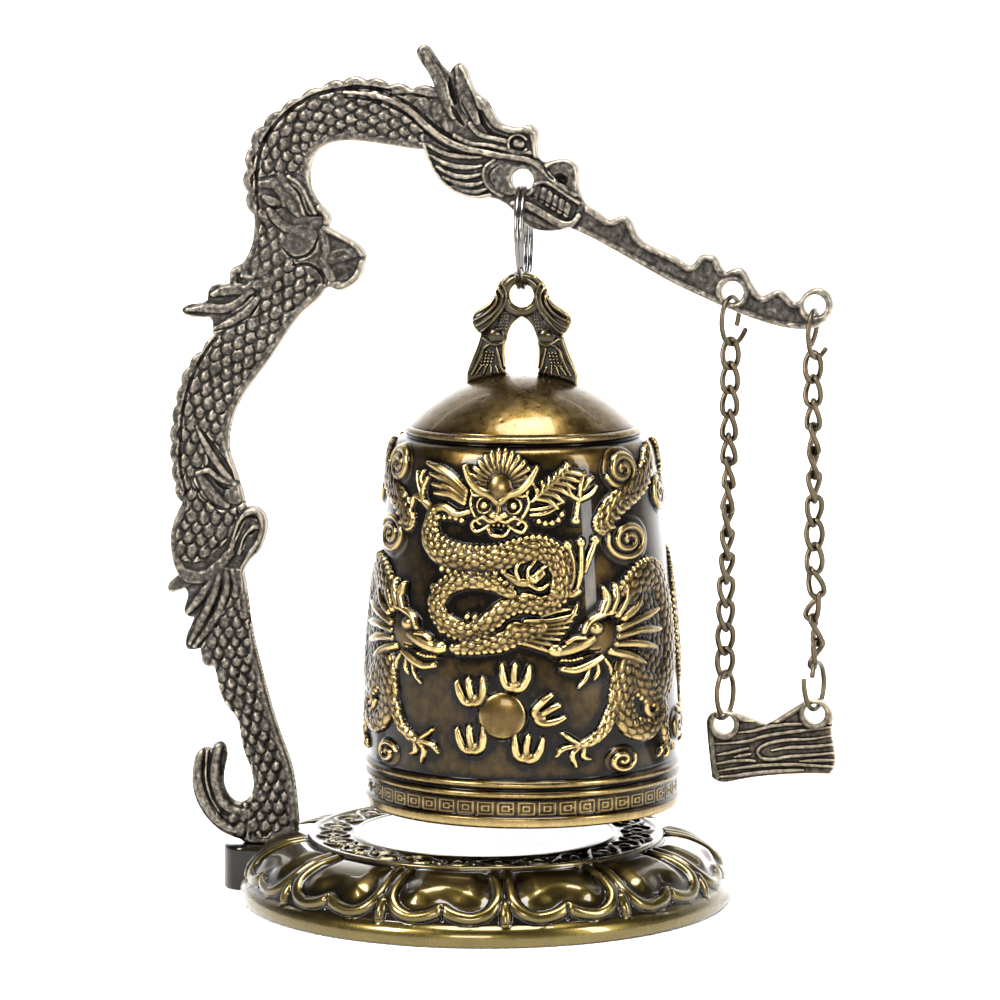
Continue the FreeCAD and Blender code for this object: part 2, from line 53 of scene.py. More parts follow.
# ---------------------------------------------------------------- lines
def smooth(points, step=0.25):
    """A Catmull-Rom line through the points, sampled about every step."""
    pts = np.array(points, float)
    if len(pts) == 2:
        return pts
    padded = np.vstack([2 * pts[0] - pts[1], pts, 2 * pts[-1] - pts[-2]])
    line = []
    for a, b, c, d in zip(padded, padded[1:], padded[2:], padded[3:]):
        count = max(2, int(np.hypot(*(c - b)[:2]) / step))
        for t in np.arange(count) / count:
            line.append(0.5 * (2 * b + (c - a) * t + (2 * a - 5 * b + 4 * c - d) * t ** 2
                               + (3 * b - a - 3 * c + d) * t ** 3))
    line.append(pts[-1])
    return np.array(line)


def spiral(centre, radii, turns, start=0.0, inner=0.2, hand=1):
    """A line that winds in to the centre."""
    t = np.linspace(0, 1, int(12 * turns) + 2)
    angle = math.radians(start) + hand * t * turns * 2 * math.pi
    shrink = 1 - (1 - inner) * t
    return np.stack([centre[0] + radii[0] * shrink * np.cos(angle),
                     centre[1] + radii[1] * shrink * np.sin(angle)], 1)


def arc(centre, radius, start, end, count=10):
    angle = np.radians(np.linspace(start, end, count))
    return np.stack([centre[0] + radius * np.cos(angle),
                     centre[1] + radius * np.sin(angle)], 1)


# ---------------------------------------------------------------- relief
class Sheet:
    """A height map in millimetres.  u runs right and v runs up."""

    def __init__(self, us, vs):
        self.us, self.vs = us, vs
        self.u, self.v = np.meshgrid(us, vs)
        self.h = np.zeros(self.u.shape)

    def window(self, low, high):
        cols = np.searchsorted(self.us, (low[0], high[0]))
        rows = np.searchsorted(self.vs, (low[1], high[1]))
        return slice(rows[0], rows[1]), slice(cols[0], cols[1])

    def along(self, line, reach):
        """Window, distance, signed side, run along, and share along, for a line."""
        line = np.asarray(line, float)[:, :2]
        where = self.window(line.min(0) - reach, line.max(0) + reach)
        shape = self.u[where].shape
        best = np.full(shape, 1e9)
        side = np.zeros(shape)
        run = np.zeros(shape)
        top, left = where[0].start, where[1].start
        total = 0.0
        for a, b in zip(line, line[1:]):
            d = b - a
            size = math.hypot(*d) or 1e-9
            part = self.window(np.minimum(a, b) - reach, np.maximum(a, b) + reach)
            sub = (slice(part[0].start - top, part[0].stop - top),
                   slice(part[1].start - left, part[1].stop - left))
            u, v = self.u[part] - a[0], self.v[part] - a[1]
            t = np.clip((u * d[0] + v * d[1]) / size ** 2, 0, 1)
            du, dv = u - t * d[0], v - t * d[1]
            dist = np.hypot(du, dv)
            near = dist < best[sub]
            best[sub] = np.where(near, dist, best[sub])
            side[sub] = np.where(near, np.sign(d[0] * dv - d[1] * du), side[sub])
            run[sub] = np.where(near, total + t * size, run[sub])
            total += size
        return where, best, side * best, run, run / max(total, 1e-9)

    def inside(self, line):
        """Window and mask of the sheet inside a closed line."""
        line = np.asarray(line, float)[:, :2]
        where = self.window(line.min(0), line.max(0))
        v0 = self.v[where][:, 0]
        us = self.us[where[1]]
        mask = np.zeros(self.u[where].shape, bool)
        for a, b in zip(line, np.roll(line, -1, 0)):
            if a[1] == b[1]:
                continue
            low, high = min(a[1], b[1]), max(a[1], b[1])
            rows = np.nonzero((v0 >= low) & (v0 < high))[0]
            cross = a[0] + (v0[rows] - a[1]) * (b[0] - a[0]) / (b[1] - a[1])
            mask[rows] ^= us[None, :] > cross[:, None]
        return where, mask

    def raise_to(self, where, shown, height):
        """Lifts what is shown of a window to a height, if it was lower."""
        self.h[where] = np.where(shown, np.maximum(self.h[where], height), self.h[where])

    def across(self, points, width, ends):
        """Window, how far out (1 at the edge) and how wide, for a tapered line."""
        where, dist, _, _, share = self.along(smooth(points), width)
        wide = np.interp(share, (0, 0.3, 0.7, 1), (ends[0], 1, 1, ends[1]))
        return where, dist / np.maximum(width / 2 * wide, 1e-6), wide

    def stroke(self, points, width, height, ends=(1, 1), floor=0.0, power=0.5):
        """A raised round-topped line.  ends scale its width at its two ends."""
        where, x, wide = self.across(points, width, ends)
        top = height * np.sqrt(wide) * np.clip(1 - x ** 2, 0, None) ** power
        self.raise_to(where, x < 1, floor + top)

    def groove(self, points, width, depth, ends=(0.4, 0.4)):
        where, x, _ = self.across(points, width, ends)
        self.h[where] -= depth * (1 - np.clip(x, 0, 1) ** 2) ** 1.2

    def oval(self, centre, radii, turn):
        """Window of an oval, and what is left of 1 going out to its edge."""
        c = np.array(centre, float)
        where = self.window(c - max(radii), c + max(radii))
        u, v = self.u[where] - c[0], self.v[where] - c[1]
        ca, sa = math.cos(math.radians(turn)), math.sin(math.radians(turn))
        x = (u * ca + v * sa) / radii[0]
        y = (v * ca - u * sa) / radii[1]
        return where, np.clip(1 - x ** 2 - y ** 2, 0, None)

    def bump(self, centre, radii, height, turn=0.0, floor=0.0, power=0.5):
        where, left = self.oval(centre, radii, turn)
        self.raise_to(where, left > 0, floor + height * left ** power)

    def dent(self, centre, radii, depth, turn=0.0):
        where, left = self.oval(centre, radii, turn)
        self.h[where] -= depth * left

    def patch(self, points, level, soft=0.3):
        """Levels what is inside a smooth closed outline, with a soft edge."""
        line = smooth(list(points) + [points[0]])
        where, mask = self.inside(line)
        around, dist, _, _, _ = self.along(line, soft * 2)
        full = np.full(self.h.shape, soft * 2)
        full[around] = np.minimum(full[around], dist)
        share = np.where(mask, np.clip(full[where] / soft, 0, 1), 0)
        share = share * share * (3 - 2 * share)
        self.h[where] = self.h[where] * (1 - share) + level * share

    def scales(self, points, width, height, pitch, body, keep=None, taper=(1, 1), floor=0.0,
               dome=0.6):
        """Overlapping scales on a round bar.  Their free ends point along it."""
        where, dist, side, run, share = self.along(smooth(points), width)
        half = width / 2 * np.interp(share, np.linspace(0, 1, len(taper)), taper)
        x = np.clip(dist / np.maximum(half, 1e-6), 0, 1.001)
        top = np.zeros(dist.shape)
        covered = np.zeros(dist.shape, bool)
        row0 = np.floor(run / pitch[0])
        for back in (1, 0, -1):
            row = row0 - back
            across = side / pitch[1] + 0.5 * np.mod(row, 2)
            column = np.round(across)
            q = (across - column) * pitch[1]
            size = 1 + 0.12 * np.sin(row * 2.4 + column * 5.1)
            p = run - (row + 0.5) * pitch[0]
            reach = np.where(p > 0, 0.62, 0.75) * pitch[0] * 1.18
            lift = 1 - (p / reach / size) ** 2 - (q / (0.54 * pitch[1] * size)) ** 2
            here = (lift > 0) & ~covered
            tilt = 0.82 + 0.18 * np.clip(p / pitch[0], -1, 1)
            top = np.where(here, np.clip(lift, 0, 1) ** dome * tilt, top)
            covered |= here
        ground = floor + body * np.sqrt(np.clip(1 - x ** 2, 0, 1)) + height * top
        shown = x < 1
        if keep is not None:
            shown &= keep[where]
        self.raise_to(where, shown, ground)

    def beads(self, points, size, height, gap, floor):
        """A row of round beads along a line."""
        line = smooth(points, 0.1)
        steps = np.hypot(*np.diff(line[:, :2], axis=0).T)
        run = np.concatenate([[0], np.cumsum(steps)])
        count = max(1, int(run[-1] / (size * gap)))
        for share in (np.arange(count) + 0.5) / count:
            spot = [np.interp(share * run[-1], run, line[:, k]) for k in (0, 1)]
            self.bump(spot, (size / 2, size / 2), height, floor=floor)

    def collar(self, centre, radius, width, ground, height, out_to):
        """A level disc with a round ridge on it, lifted round a hole."""
        away = np.hypot(self.u - centre[0], self.v - centre[1])
        ridge = np.sqrt(np.clip(1 - ((away - radius) / width) ** 2, 0, 1))
        self.raise_to(..., away < out_to, ground + height * ridge)


def blurred(h, cells, wrap=False):
    """Three passes of a box average."""
    size = 2 * cells + 1
    for _ in range(3):
        for axis in (0, 1):
            pads = [(0, 0), (0, 0)]
            pads[axis] = (cells + 1, cells)
            mode = "wrap" if wrap and axis == 1 else "edge"
            total = np.cumsum(np.pad(h, pads, mode=mode), axis=axis)
            first, last = [slice(None)] * 2, [slice(None)] * 2
            first[axis], last[axis] = slice(0, -size), slice(size, None)
            h = (total[tuple(last)] - total[tuple(first)]) / size
    return h


def crevices(h, around, cells, wrap=False, fine=1.5):
    """How far each spot stands above what lies round it, at two sizes."""
    close = blurred(around, max(1, cells // 3), wrap)
    return 0.55 * (h - blurred(around, cells, wrap)) + fine * (h - close)


def grit(shape, cells, seed):
    """Uneven casting skin: smoothed random heights of about unit size."""
    lumps = blurred(np.random.default_rng(seed).normal(size=shape), cells)
    return lumps / lumps.std()


def wobble(sheet, size, seed):
    """Smooth random heights between -1 and 1, with lumps about size across."""
    u, v = sheet.u / size, sheet.v / size
    total = np.zeros(u.shape)
    draw = np.random.default_rng(seed)
    for _ in range(7):
        a, b, phase = draw.uniform(-2.2, 2.2), draw.uniform(-2.2, 2.2), draw.uniform(0, 6.3)
        total += np.sin(u * a + v * b + phase)
    return total / 4


# ---------------------------------------------------------------- meshes
def new_piece(name, verts, faces, uvs=None, attributes=None):
    """A smooth mesh object.  faces is a list of index arrays, 3 or 4 wide."""
    mesh = bpy.data.meshes.new(name)
    loops = np.concatenate([f.ravel() for f in faces]).astype(np.int32)
    sizes = np.concatenate([np.full(len(f), f.shape[1]) for f in faces]).astype(np.int32)
    starts = np.concatenate([[0], np.cumsum(sizes)[:-1]]).astype(np.int32)
    mesh.vertices.add(len(verts))
    mesh.vertices.foreach_set("co", (np.asarray(verts) * MM).astype(np.float32).ravel())
    mesh.loops.add(len(loops))
    mesh.loops.foreach_set("vertex_index", loops)
    mesh.polygons.add(len(sizes))
    mesh.polygons.foreach_set("loop_start", starts)
    mesh.update(calc_edges=True)
    mesh.polygons.foreach_set("use_smooth", np.ones(len(sizes), bool))
    if uvs is not None:
        layer = mesh.uv_layers.new(name="OFBake")
        flat = np.concatenate([np.asarray(u).reshape(-1, 2) for u in uvs])
        layer.uv.foreach_set("vector", flat.astype(np.float32).ravel())
    for key, values in (attributes or {}).items():
        slot = mesh.attributes.new(key, "FLOAT", "POINT")
        slot.data.foreach_set("value", np.asarray(values, np.float32))
    mesh.validate()
    piece = bpy.data.objects.new(name, mesh)
    bpy.context.scene.collection.objects.link(piece)
    return piece


def settle(piece, material, body, slot, *nodes):
    """Gives a piece its metal and its body, and hides the CAD nodes it stands for. slot is not used.
    """
    piece.data.materials.append(material)
    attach(piece, body)
    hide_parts(*nodes)
    return piece


def node_points(node):
    """The points of a CAD node, in millimetres."""
    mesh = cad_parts[node].data
    co = np.empty(len(mesh.vertices) * 3)
    mesh.vertices.foreach_get("co", co)
    return co.reshape(-1, 3) / MM


def face_loops(node, y):
    """Closed outlines, in x and z, of a CAD plate's flat face at y."""
    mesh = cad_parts[node].data
    co = node_points(node)
    flat = np.abs(co[:, 1] - y) < 0.005
    keys = {}
    ids = [keys.setdefault((round(x, 3), round(z, 3)), len(keys)) for x, _, z in co]
    spots = np.array(list(keys))
    open_edges = {}
    for poly in mesh.polygons:
        if all(flat[v] for v in poly.vertices):
            ring = [ids[v] for v in poly.vertices]
            for a, b in zip(ring, ring[1:] + ring[:1]):
                if (b, a) in open_edges:
                    del open_edges[(b, a)]
                else:
                    open_edges[(a, b)] = True
    after = dict(open_edges.keys())
    loops = []
    while after:
        start, spot = after.popitem()
        loop = [start]
        while spot != start:
            loop.append(spot)
            spot = after.pop(spot)
        loops.append(spots[loop])
    return loops


def nearest_on(loops, points):
    """The nearest spot of the outlines to each point."""
    starts = np.concatenate(loops)
    ends = np.concatenate([np.roll(loop, -1, 0) for loop in loops])
    d = ends - starts
    size = np.maximum((d ** 2).sum(1), 1e-12)
    result = np.empty_like(points)
    for k in range(0, len(points), 400):
        p = points[k:k + 400, None, :]
        t = np.clip(((p - starts) * d).sum(2) / size, 0, 1)
        spot = starts + t[..., None] * d
        pick = ((p - spot) ** 2).sum(2).argmin(1)
        result[k:k + 400] = spot[np.arange(len(pick)), pick]
    return result


EDGE_LEVELS = 4              # rows of faces round the edge of a flat casting
EDGE_TALL = 0.8              # height of each of them in the texture layout
EDGE_WORN = 0.12
DEPTH_REACH = 3.0            # how far in from a plate's edge the distance is known
OUTSIDE = 0.45               # height that the patina takes the air round a plate to have


def depth_in(sheet, loops, reach):
    """Distance in from the outlines, known up to reach and negative outside."""
    depth = np.full(sheet.h.shape, reach)
    solid = np.zeros(sheet.h.shape, bool)
    for loop in loops:
        where, dist, _, _, _ = sheet.along(np.vstack([loop, loop[:1]]), reach)
        depth[where] = np.minimum(depth[where], dist)
        where, mask = sheet.inside(loop)
        solid[where] ^= mask
    return np.where(solid, depth, -depth)


def casting(name, node, half, cell, draw, rim=0.5, bulge=0.02, shade=0.45):
    """A flat casting on the CAD plate's outline, with the same relief on both faces.
    half is half its thickness, cell the mesh size, rim the radius of the rounded
    edge, bulge how far the edge swells out, and shade the reach of the patina."""
    loops = face_loops(node, -half)
    every = np.concatenate(loops)
    low, high = every.min(0) - 3 * cell, every.max(0) + 3 * cell
    us, vs = np.arange(low[0], high[0], cell), np.arange(low[1], high[1], cell)
    base = Sheet(us, vs)
    depth = depth_in(base, loops, DEPTH_REACH)
    keep = depth > -0.45 * cell
    cells = keep[:-1, :-1] & keep[1:, :-1] & keep[:-1, 1:] & keep[1:, 1:]
    padded = np.pad(cells, 1)
    index = np.arange(base.h.size).reshape(base.h.shape)
    rows, cols = np.nonzero(cells)
    quads = np.stack([index[rows, cols], index[rows, cols + 1],
                      index[rows + 1, cols + 1], index[rows + 1, cols]], 1)
    edges = []
    for dr, dc, a, b in ((-1, 0, 0, 1), (0, 1, 1, 2), (1, 0, 2, 3), (0, -1, 3, 0)):
        bare = ~padded[rows + 1 + dr, cols + 1 + dc]
        edges.append(quads[bare][:, [a, b]])
    edges = np.concatenate(edges)
    used = np.unique(quads)
    place = np.full(base.h.size, -1)
    place[used] = np.arange(len(used))
    flat = np.stack([base.u.ravel()[used], base.v.ravel()[used]], 1)
    rim_ids = np.unique(place[edges])
    flat[rim_ids] = nearest_on(loops, flat[rim_ids])
    inner = np.clip(depth.ravel()[used], 0, None)
    inner[rim_ids] = 0
    drop = rim - np.sqrt(np.clip(rim ** 2 - np.clip(rim - inner, 0, None) ** 2, 0, None))
    draw(base, depth)
    lowered = np.where(depth > 0, base.h, OUTSIDE)
    hollow = crevices(base.h, lowered, max(3, int(shade / cell))).ravel()[used]
    height = base.h.ravel()[used] - drop
    count = len(used)
    verts = [np.stack([flat[:, 0], sign * height, flat[:, 1]], 1) for sign in (-1, 1)]
    hollows = [hollow, hollow]
    front = place[quads]
    faces = [front, front[:, ::-1] + count]
    span = high - low
    strip = EDGE_LEVELS * EDGE_TALL + 0.6
    lay = place[edges]
    lengths = np.hypot(*(flat[lay[:, 1]] - flat[lay[:, 0]]).T)
    run = np.concatenate([[0], np.cumsum(lengths + 0.01)])
    total_wide = 2 * span[0] + 2
    lanes = int(run[-1] / (total_wide - 4)) + 1
    scale = 1.0 / max(total_wide, span[1] + 2 + lanes * strip)
    uv = (flat - low) * scale
    uvs = [uv[front], (uv + [(span[0] + 1.5) * scale, 0])[front[:, ::-1]]]
    outward = np.zeros((count, 2))
    step = flat[lay[:, 1]] - flat[lay[:, 0]]
    normal = np.stack([step[:, 1], -step[:, 0]], 1)
    np.add.at(outward, lay[:, 0], normal)
    np.add.at(outward, lay[:, 1], normal)
    outward /= np.maximum(np.hypot(*outward.T), 1e-9)[:, None]
    ring_place = np.full(count, -1)
    ring_place[rim_ids] = np.arange(len(rim_ids))
    levels = [lay]
    base_index = 2 * count
    near, far = -height[rim_ids], height[rim_ids]
    for level in range(1, EDGE_LEVELS):
        t = level / EDGE_LEVELS
        out = flat[rim_ids] + outward[rim_ids] * bulge * math.sin(math.pi * t)
        verts.append(np.stack([out[:, 0], near + (far - near) * t, out[:, 1]], 1))
        hollows.append(np.full(len(rim_ids), EDGE_WORN))
        levels.append(base_index + ring_place[lay])
        base_index += len(rim_ids)
    levels.append(lay + count)
    lane = (run[:-1] / (total_wide - 4)).astype(int)
    start = run[:-1] - lane * (total_wide - 4)
    for level in range(EDGE_LEVELS):
        a, b = levels[level], levels[level + 1]
        faces.append(np.stack([a[:, 1], a[:, 0], b[:, 0], b[:, 1]], 1))
        v0 = (span[1] + 1 + lane * strip + level * EDGE_TALL) * scale
        v1 = v0 + EDGE_TALL * scale
        u0, u1 = (start + 1) * scale, (start + 1 + lengths) * scale
        uvs.append(np.stack([np.stack([u1, v0], 1), np.stack([u0, v0], 1),
                             np.stack([u0, v1], 1), np.stack([u1, v1], 1)], 1))
    return new_piece(name, np.concatenate(verts), faces, uvs,
                     {"hollow": np.concatenate(hollows)})


SHADE_CELLS = 5              # reach of the patina in a turned casting's hollows


def turned(name, profile, heights, axis_x, worn=0.0, high=0.0, fine=1.5):
    """A lathed casting.  profile is rows of (r, z) from the top middle, outside
    down, and up inside; heights has a row of relief for each of them.  worn
    lifts whole rows out of the patina, high lifts what stands tall, and fine
    weighs the smallest hollows."""
    profile = np.asarray(profile, float)
    count, wide = len(profile), heights.shape[1]
    tangent = np.gradient(profile, axis=0)
    normal = np.stack([-tangent[:, 1], tangent[:, 0]], 1)
    normal /= np.maximum(np.hypot(*normal.T), 1e-9)[:, None]
    round_it = np.stack([blurred(np.repeat(profile[:, k:k + 1], 3, 1), 4)[:, 0] for k in (0, 1)], 1)
    proud = ((profile - round_it) * normal).sum(1)[:, None]
    hollow = crevices(heights, heights, SHADE_CELLS, True, fine) + np.clip(0.9 * proud, -0.25, 0.3)
    hollow += high * np.clip(heights, 0, 1)
    hollow += np.full(count, worn)[:, None]
    turn = np.linspace(0, 2 * math.pi, wide, endpoint=False) - math.pi / 2
    r = profile[:, :1] + normal[:, :1] * heights
    z = profile[:, 1:] + normal[:, 1:] * heights
    x = axis_x + r * np.cos(turn)
    y = r * np.sin(turn)
    index = np.arange(count * wide).reshape(count, wide)
    after = np.roll(index, -1, axis=1)
    quads = np.stack([index[1:], after[1:], after[:-1], index[:-1]], -1).reshape(-1, 4)
    run = np.concatenate([[0], np.cumsum(np.hypot(*np.diff(profile, axis=0).T))])
    v = 1 - run / run[-1]
    u = np.arange(wide + 1) / wide
    grid = np.stack(np.meshgrid(u, v), -1)
    uvs = np.stack([grid[1:, :-1], grid[1:, 1:], grid[:-1, 1:], grid[:-1, :-1]], 2)
    verts = np.stack([x, y, np.broadcast_to(z, x.shape)], -1).reshape(-1, 3)
    poles = [[axis_x, 0, z[0].mean()], [axis_x, 0, z[-1].mean()]]
    top, bottom = len(verts), len(verts) + 1
    caps = np.concatenate([
        np.stack([index[0], after[0], np.full(wide, top)], 1),
        np.stack([after[-1], index[-1], np.full(wide, bottom)], 1)])
    cap_uv = np.concatenate([
        np.stack([grid[0, :-1], grid[0, 1:], grid[0, 1:]], 1),
        np.stack([grid[-1, 1:], grid[-1, :-1], grid[-1, :-1]], 1)])
    return new_piece(name, np.vstack([verts, poles]), [quads, caps],
                     [uvs.reshape(-1, 4, 2), cap_uv],
                     {"hollow": np.append(hollow.ravel(), [0, 0])})


def sweep(name, line, radius, closed=False, sides=14):
    """A round wire along a line in millimetres."""
    line = np.asarray(line, float)
    ahead = np.roll(line, -1, 0) - np.roll(line, 1, 0)
    if not closed:
        ahead[0], ahead[-1] = line[1] - line[0], line[-1] - line[-2]
    ahead /= np.linalg.norm(ahead, axis=1)[:, None]
    side = np.cross(ahead[0], [0.3, 0.9, 0.2])
    side /= np.linalg.norm(side)
    frames = []
    for t in ahead:
        side = side - t * side.dot(t)
        side /= np.linalg.norm(side)
        frames.append((side.copy(), np.cross(t, side)))
    turn = 0.0
    if closed:
        last = frames[-1][0] - ahead[0] * frames[-1][0].dot(ahead[0])
        turn = math.atan2(last.dot(frames[0][1]), last.dot(frames[0][0]))
    count = len(line)
    angles = np.linspace(0, 2 * math.pi, sides, endpoint=False)
    verts = []
    for k, (a, b) in enumerate(frames):
        shift = -turn * k / count
        c, s = np.cos(angles + shift)[:, None], np.sin(angles + shift)[:, None]
        verts.append(line[k] + radius * (c * a + s * b))
    verts = np.concatenate(verts)
    index = np.arange(count * sides).reshape(count, sides)
    nxt = np.roll(index, -1, 0)
    if not closed:
        index, nxt = index[:-1], nxt[:-1]
    quads = np.stack([index, np.roll(index, -1, 1), np.roll(nxt, -1, 1), nxt], -1)
    faces = [quads.reshape(-1, 4)]
    if not closed:
        for end, way in ((0, -1), (count - 1, 1)):
            t = ahead[end] * way
            cap = line[end] + t * radius * 0.35
            inner = len(verts)
            ring = line[end] + (verts[end * sides:(end + 1) * sides] - line[end]) * 0.72
            verts = np.vstack([verts, ring + t * radius * 0.28, cap])
            outer = np.arange(end * sides, (end + 1) * sides)
            mid = np.arange(inner, inner + sides)
            o2, m2 = np.roll(outer, -1), np.roll(mid, -1)
            band = np.stack([outer, mid, m2, o2], 1)
            fan = np.stack([mid, np.full(sides, inner + sides), m2], 1)
            faces += [band, fan] if way < 0 else [band[:, ::-1], fan[:, ::-1]]
    return new_piece(name, verts, faces)


# ---------------------------------------------------------------- materials
def node_of(tree, kind, **sockets):
    node = tree.nodes.new(kind)
    for key, value in sockets.items():
        if key in node.inputs:
            node.inputs[key].default_value = value
        else:
            setattr(node, key, value)
    return node


def ramp(tree, source, stops):
    node = tree.nodes.new("ShaderNodeValToRGB")
    tree.links.new(source, node.inputs[0])
    while len(node.color_ramp.elements) < len(stops):
        node.color_ramp.elements.new(0.5)
    for element, (at, colour) in zip(node.color_ramp.elements, stops):
        element.position = at
        element.color = (*colour, 1)
    return node.outputs[0]


def mix(tree, share, a, b, blend="MIX"):
    node = tree.nodes.new("ShaderNodeMix")
    node.data_type = "RGBA"
    node.blend_type = blend
    for socket, value in ((node.inputs[0], share), (node.inputs[6], a), (node.inputs[7], b)):
        if isinstance(value, (int, float)):
            socket.default_value = value
        elif isinstance(value, tuple):
            socket.default_value = (*value, 1)
        else:
            tree.links.new(value, socket)
    return node.outputs[2]


def maths(tree, op, a, b=0.0, clamp=False):
    node = tree.nodes.new("ShaderNodeMath")
    node.operation = op
    node.use_clamp = clamp
    for socket, value in zip(node.inputs, (a, b)):
        if isinstance(value, (int, float)):
            socket.default_value = value
        else:
            tree.links.new(value, socket)
    return node.outputs[0]


def metal(name, dark, mid, bright, rough=(0.3, 0.5), coat=0.0, coat_rough=0.1, wear=(-0.05, 0.1),
          grain=900.0, grain_depth=0.02, brushed=None, blotch=120.0, blotch_share=0.35,
          speckle=0.16):
    """Cast metal: dark patina in the hollows, worn metal on what stands proud."""
    material = bpy.data.materials.new(name)
    material.use_nodes = True
    tree = material.node_tree
    tree.nodes.clear()
    shader = tree.nodes.new("ShaderNodeBsdfPrincipled")
    output = tree.nodes.new("ShaderNodeOutputMaterial")
    tree.links.new(shader.outputs[0], output.inputs[0])
    where = tree.nodes.new("ShaderNodeTexCoord").outputs["Object"]

    def noise(scale, detail=4.0, stretch=None):
        source = where
        if stretch:
            mapping = tree.nodes.new("ShaderNodeMapping")
            mapping.inputs["Scale"].default_value = stretch
            tree.links.new(where, mapping.inputs["Vector"])
            source = mapping.outputs[0]
        node = node_of(tree, "ShaderNodeTexNoise", Scale=scale, Detail=detail, Roughness=0.6)
        tree.links.new(source, node.inputs["Vector"])
        return node.outputs["Fac"]

    hollow = node_of(tree, "ShaderNodeAttribute", attribute_name="hollow").outputs["Fac"]
    fine = noise(grain, 5.0)
    patches = noise(blotch, 3.0)
    shaky = maths(tree, "ADD", hollow, maths(tree, "MULTIPLY", maths(tree, "SUBTRACT", fine, 0.5),
                                             speckle))
    shaky = maths(tree, "ADD", shaky, maths(tree, "MULTIPLY",
                                            maths(tree, "SUBTRACT", patches, 0.5), 0.04))
    low, high = wear
    span = maths(tree, "DIVIDE", maths(tree, "SUBTRACT", shaky, low - (high - low)),
                 3 * (high - low), clamp=True)
    colour = ramp(tree, span, [(0, dark), (0.33, dark), (0.52, mid), (0.85, bright)])
    stain = ramp(tree, patches, [(0.35, (0.62, 0.58, 0.55)), (0.65, (1, 1, 1))])
    colour = mix(tree, blotch_share, colour, stain, "MULTIPLY")
    bump_source = fine
    if brushed:
        lines = noise(brushed[0], 4.0, brushed[1])
        streak = ramp(tree, lines, [(0.3, (0.72, 0.7, 0.66)), (0.7, (1.12, 1.1, 1.06))])
        colour = mix(tree, brushed[2], colour, streak, "MULTIPLY")
        bump_source = maths(tree, "ADD", fine, maths(tree, "MULTIPLY", lines, 0.8))
    tree.links.new(colour, shader.inputs["Base Color"])
    shader.inputs["Metallic"].default_value = 1.0
    roughness = maths(tree, "ADD", maths(tree, "MULTIPLY", fine, rough[1] - rough[0]), rough[0])
    dull = maths(tree, "MULTIPLY", maths(tree, "SUBTRACT", 1, span), 0.14)
    tree.links.new(maths(tree, "ADD", roughness, dull, clamp=True), shader.inputs["Roughness"])
    bump = node_of(tree, "ShaderNodeBump", Strength=1.0, Distance=grain_depth * MM)
    tree.links.new(bump_source, bump.inputs["Height"])
    tree.links.new(bump.outputs[0], shader.inputs["Normal"])
    shader.inputs["Coat Weight"].default_value = coat
    shader.inputs["Coat Roughness"].default_value = coat_rough
    return material


DRAGON_METAL = metal("antique_bronze", (0.017, 0.016, 0.015), (0.06, 0.053, 0.046),
                     (0.35, 0.305, 0.235), rough=(0.2, 0.46), wear=(-0.12, 0.22), grain=1500.0,
                     grain_depth=0.05, blotch=260.0, blotch_share=0.5, speckle=0.75)
BELL_METAL = metal("antique_brass", (0.004, 0.003, 0.002), (0.078, 0.048, 0.0125),
                   (0.46, 0.345, 0.14), rough=(0.15, 0.29), coat=0.22, coat_rough=0.03,
                   wear=(-0.06, 0.28), grain=800.0, grain_depth=0.014,
                   brushed=(340, (5, 5, 0.7), 0.6), blotch=60.0, blotch_share=0.3,
                   speckle=0.2)
CROWN_METAL = metal("crown_brass", (0.005, 0.004, 0.003), (0.06, 0.042, 0.015),
                    (0.42, 0.33, 0.165), rough=(0.14, 0.28), coat=0.4, coat_rough=0.04,
                    wear=(-0.05, 0.32), grain=900.0, grain_depth=0.012, speckle=0.25)
BASE_METAL = metal("dark_brass", (0.006, 0.004, 0.002), (0.066, 0.047, 0.011),
                   (0.18, 0.135, 0.038), rough=(0.17, 0.28), coat=0.5, coat_rough=0.03,
                   wear=(-0.16, 0.35), grain=700.0, grain_depth=0.006, blotch=80.0,
                   blotch_share=0.2)
STRIKER_METAL = metal("striker_brass", (0.008, 0.007, 0.006), (0.07, 0.06, 0.045),
                      (0.4, 0.335, 0.235), rough=(0.2, 0.4), wear=(-0.1, 0.2), grain=1500.0,
                      grain_depth=0.03, speckle=0.4)
CHAIN_METAL = metal("chain_bronze", (0.02, 0.015, 0.010), (0.11, 0.085, 0.053),
                    (0.3, 0.24, 0.15), rough=(0.2, 0.36), wear=(-0.2, 0.3), grain=900.0,
                    grain_depth=0.008, blotch=300.0, blotch_share=0.6)
NICKEL = metal("bright_nickel", (0.07, 0.065, 0.06), (0.17, 0.16, 0.15), (0.4, 0.38, 0.35),
               rough=(0.08, 0.18), wear=(-0.3, 0.3), grain=600.0, grain_depth=0.003)
STEEL = metal("screw_steel", (0.2, 0.2, 0.2), (0.5, 0.5, 0.5), (0.6, 0.6, 0.6),
              rough=(0.25, 0.4), wear=(-0.3, 0.3), grain=900.0, grain_depth=0.006)


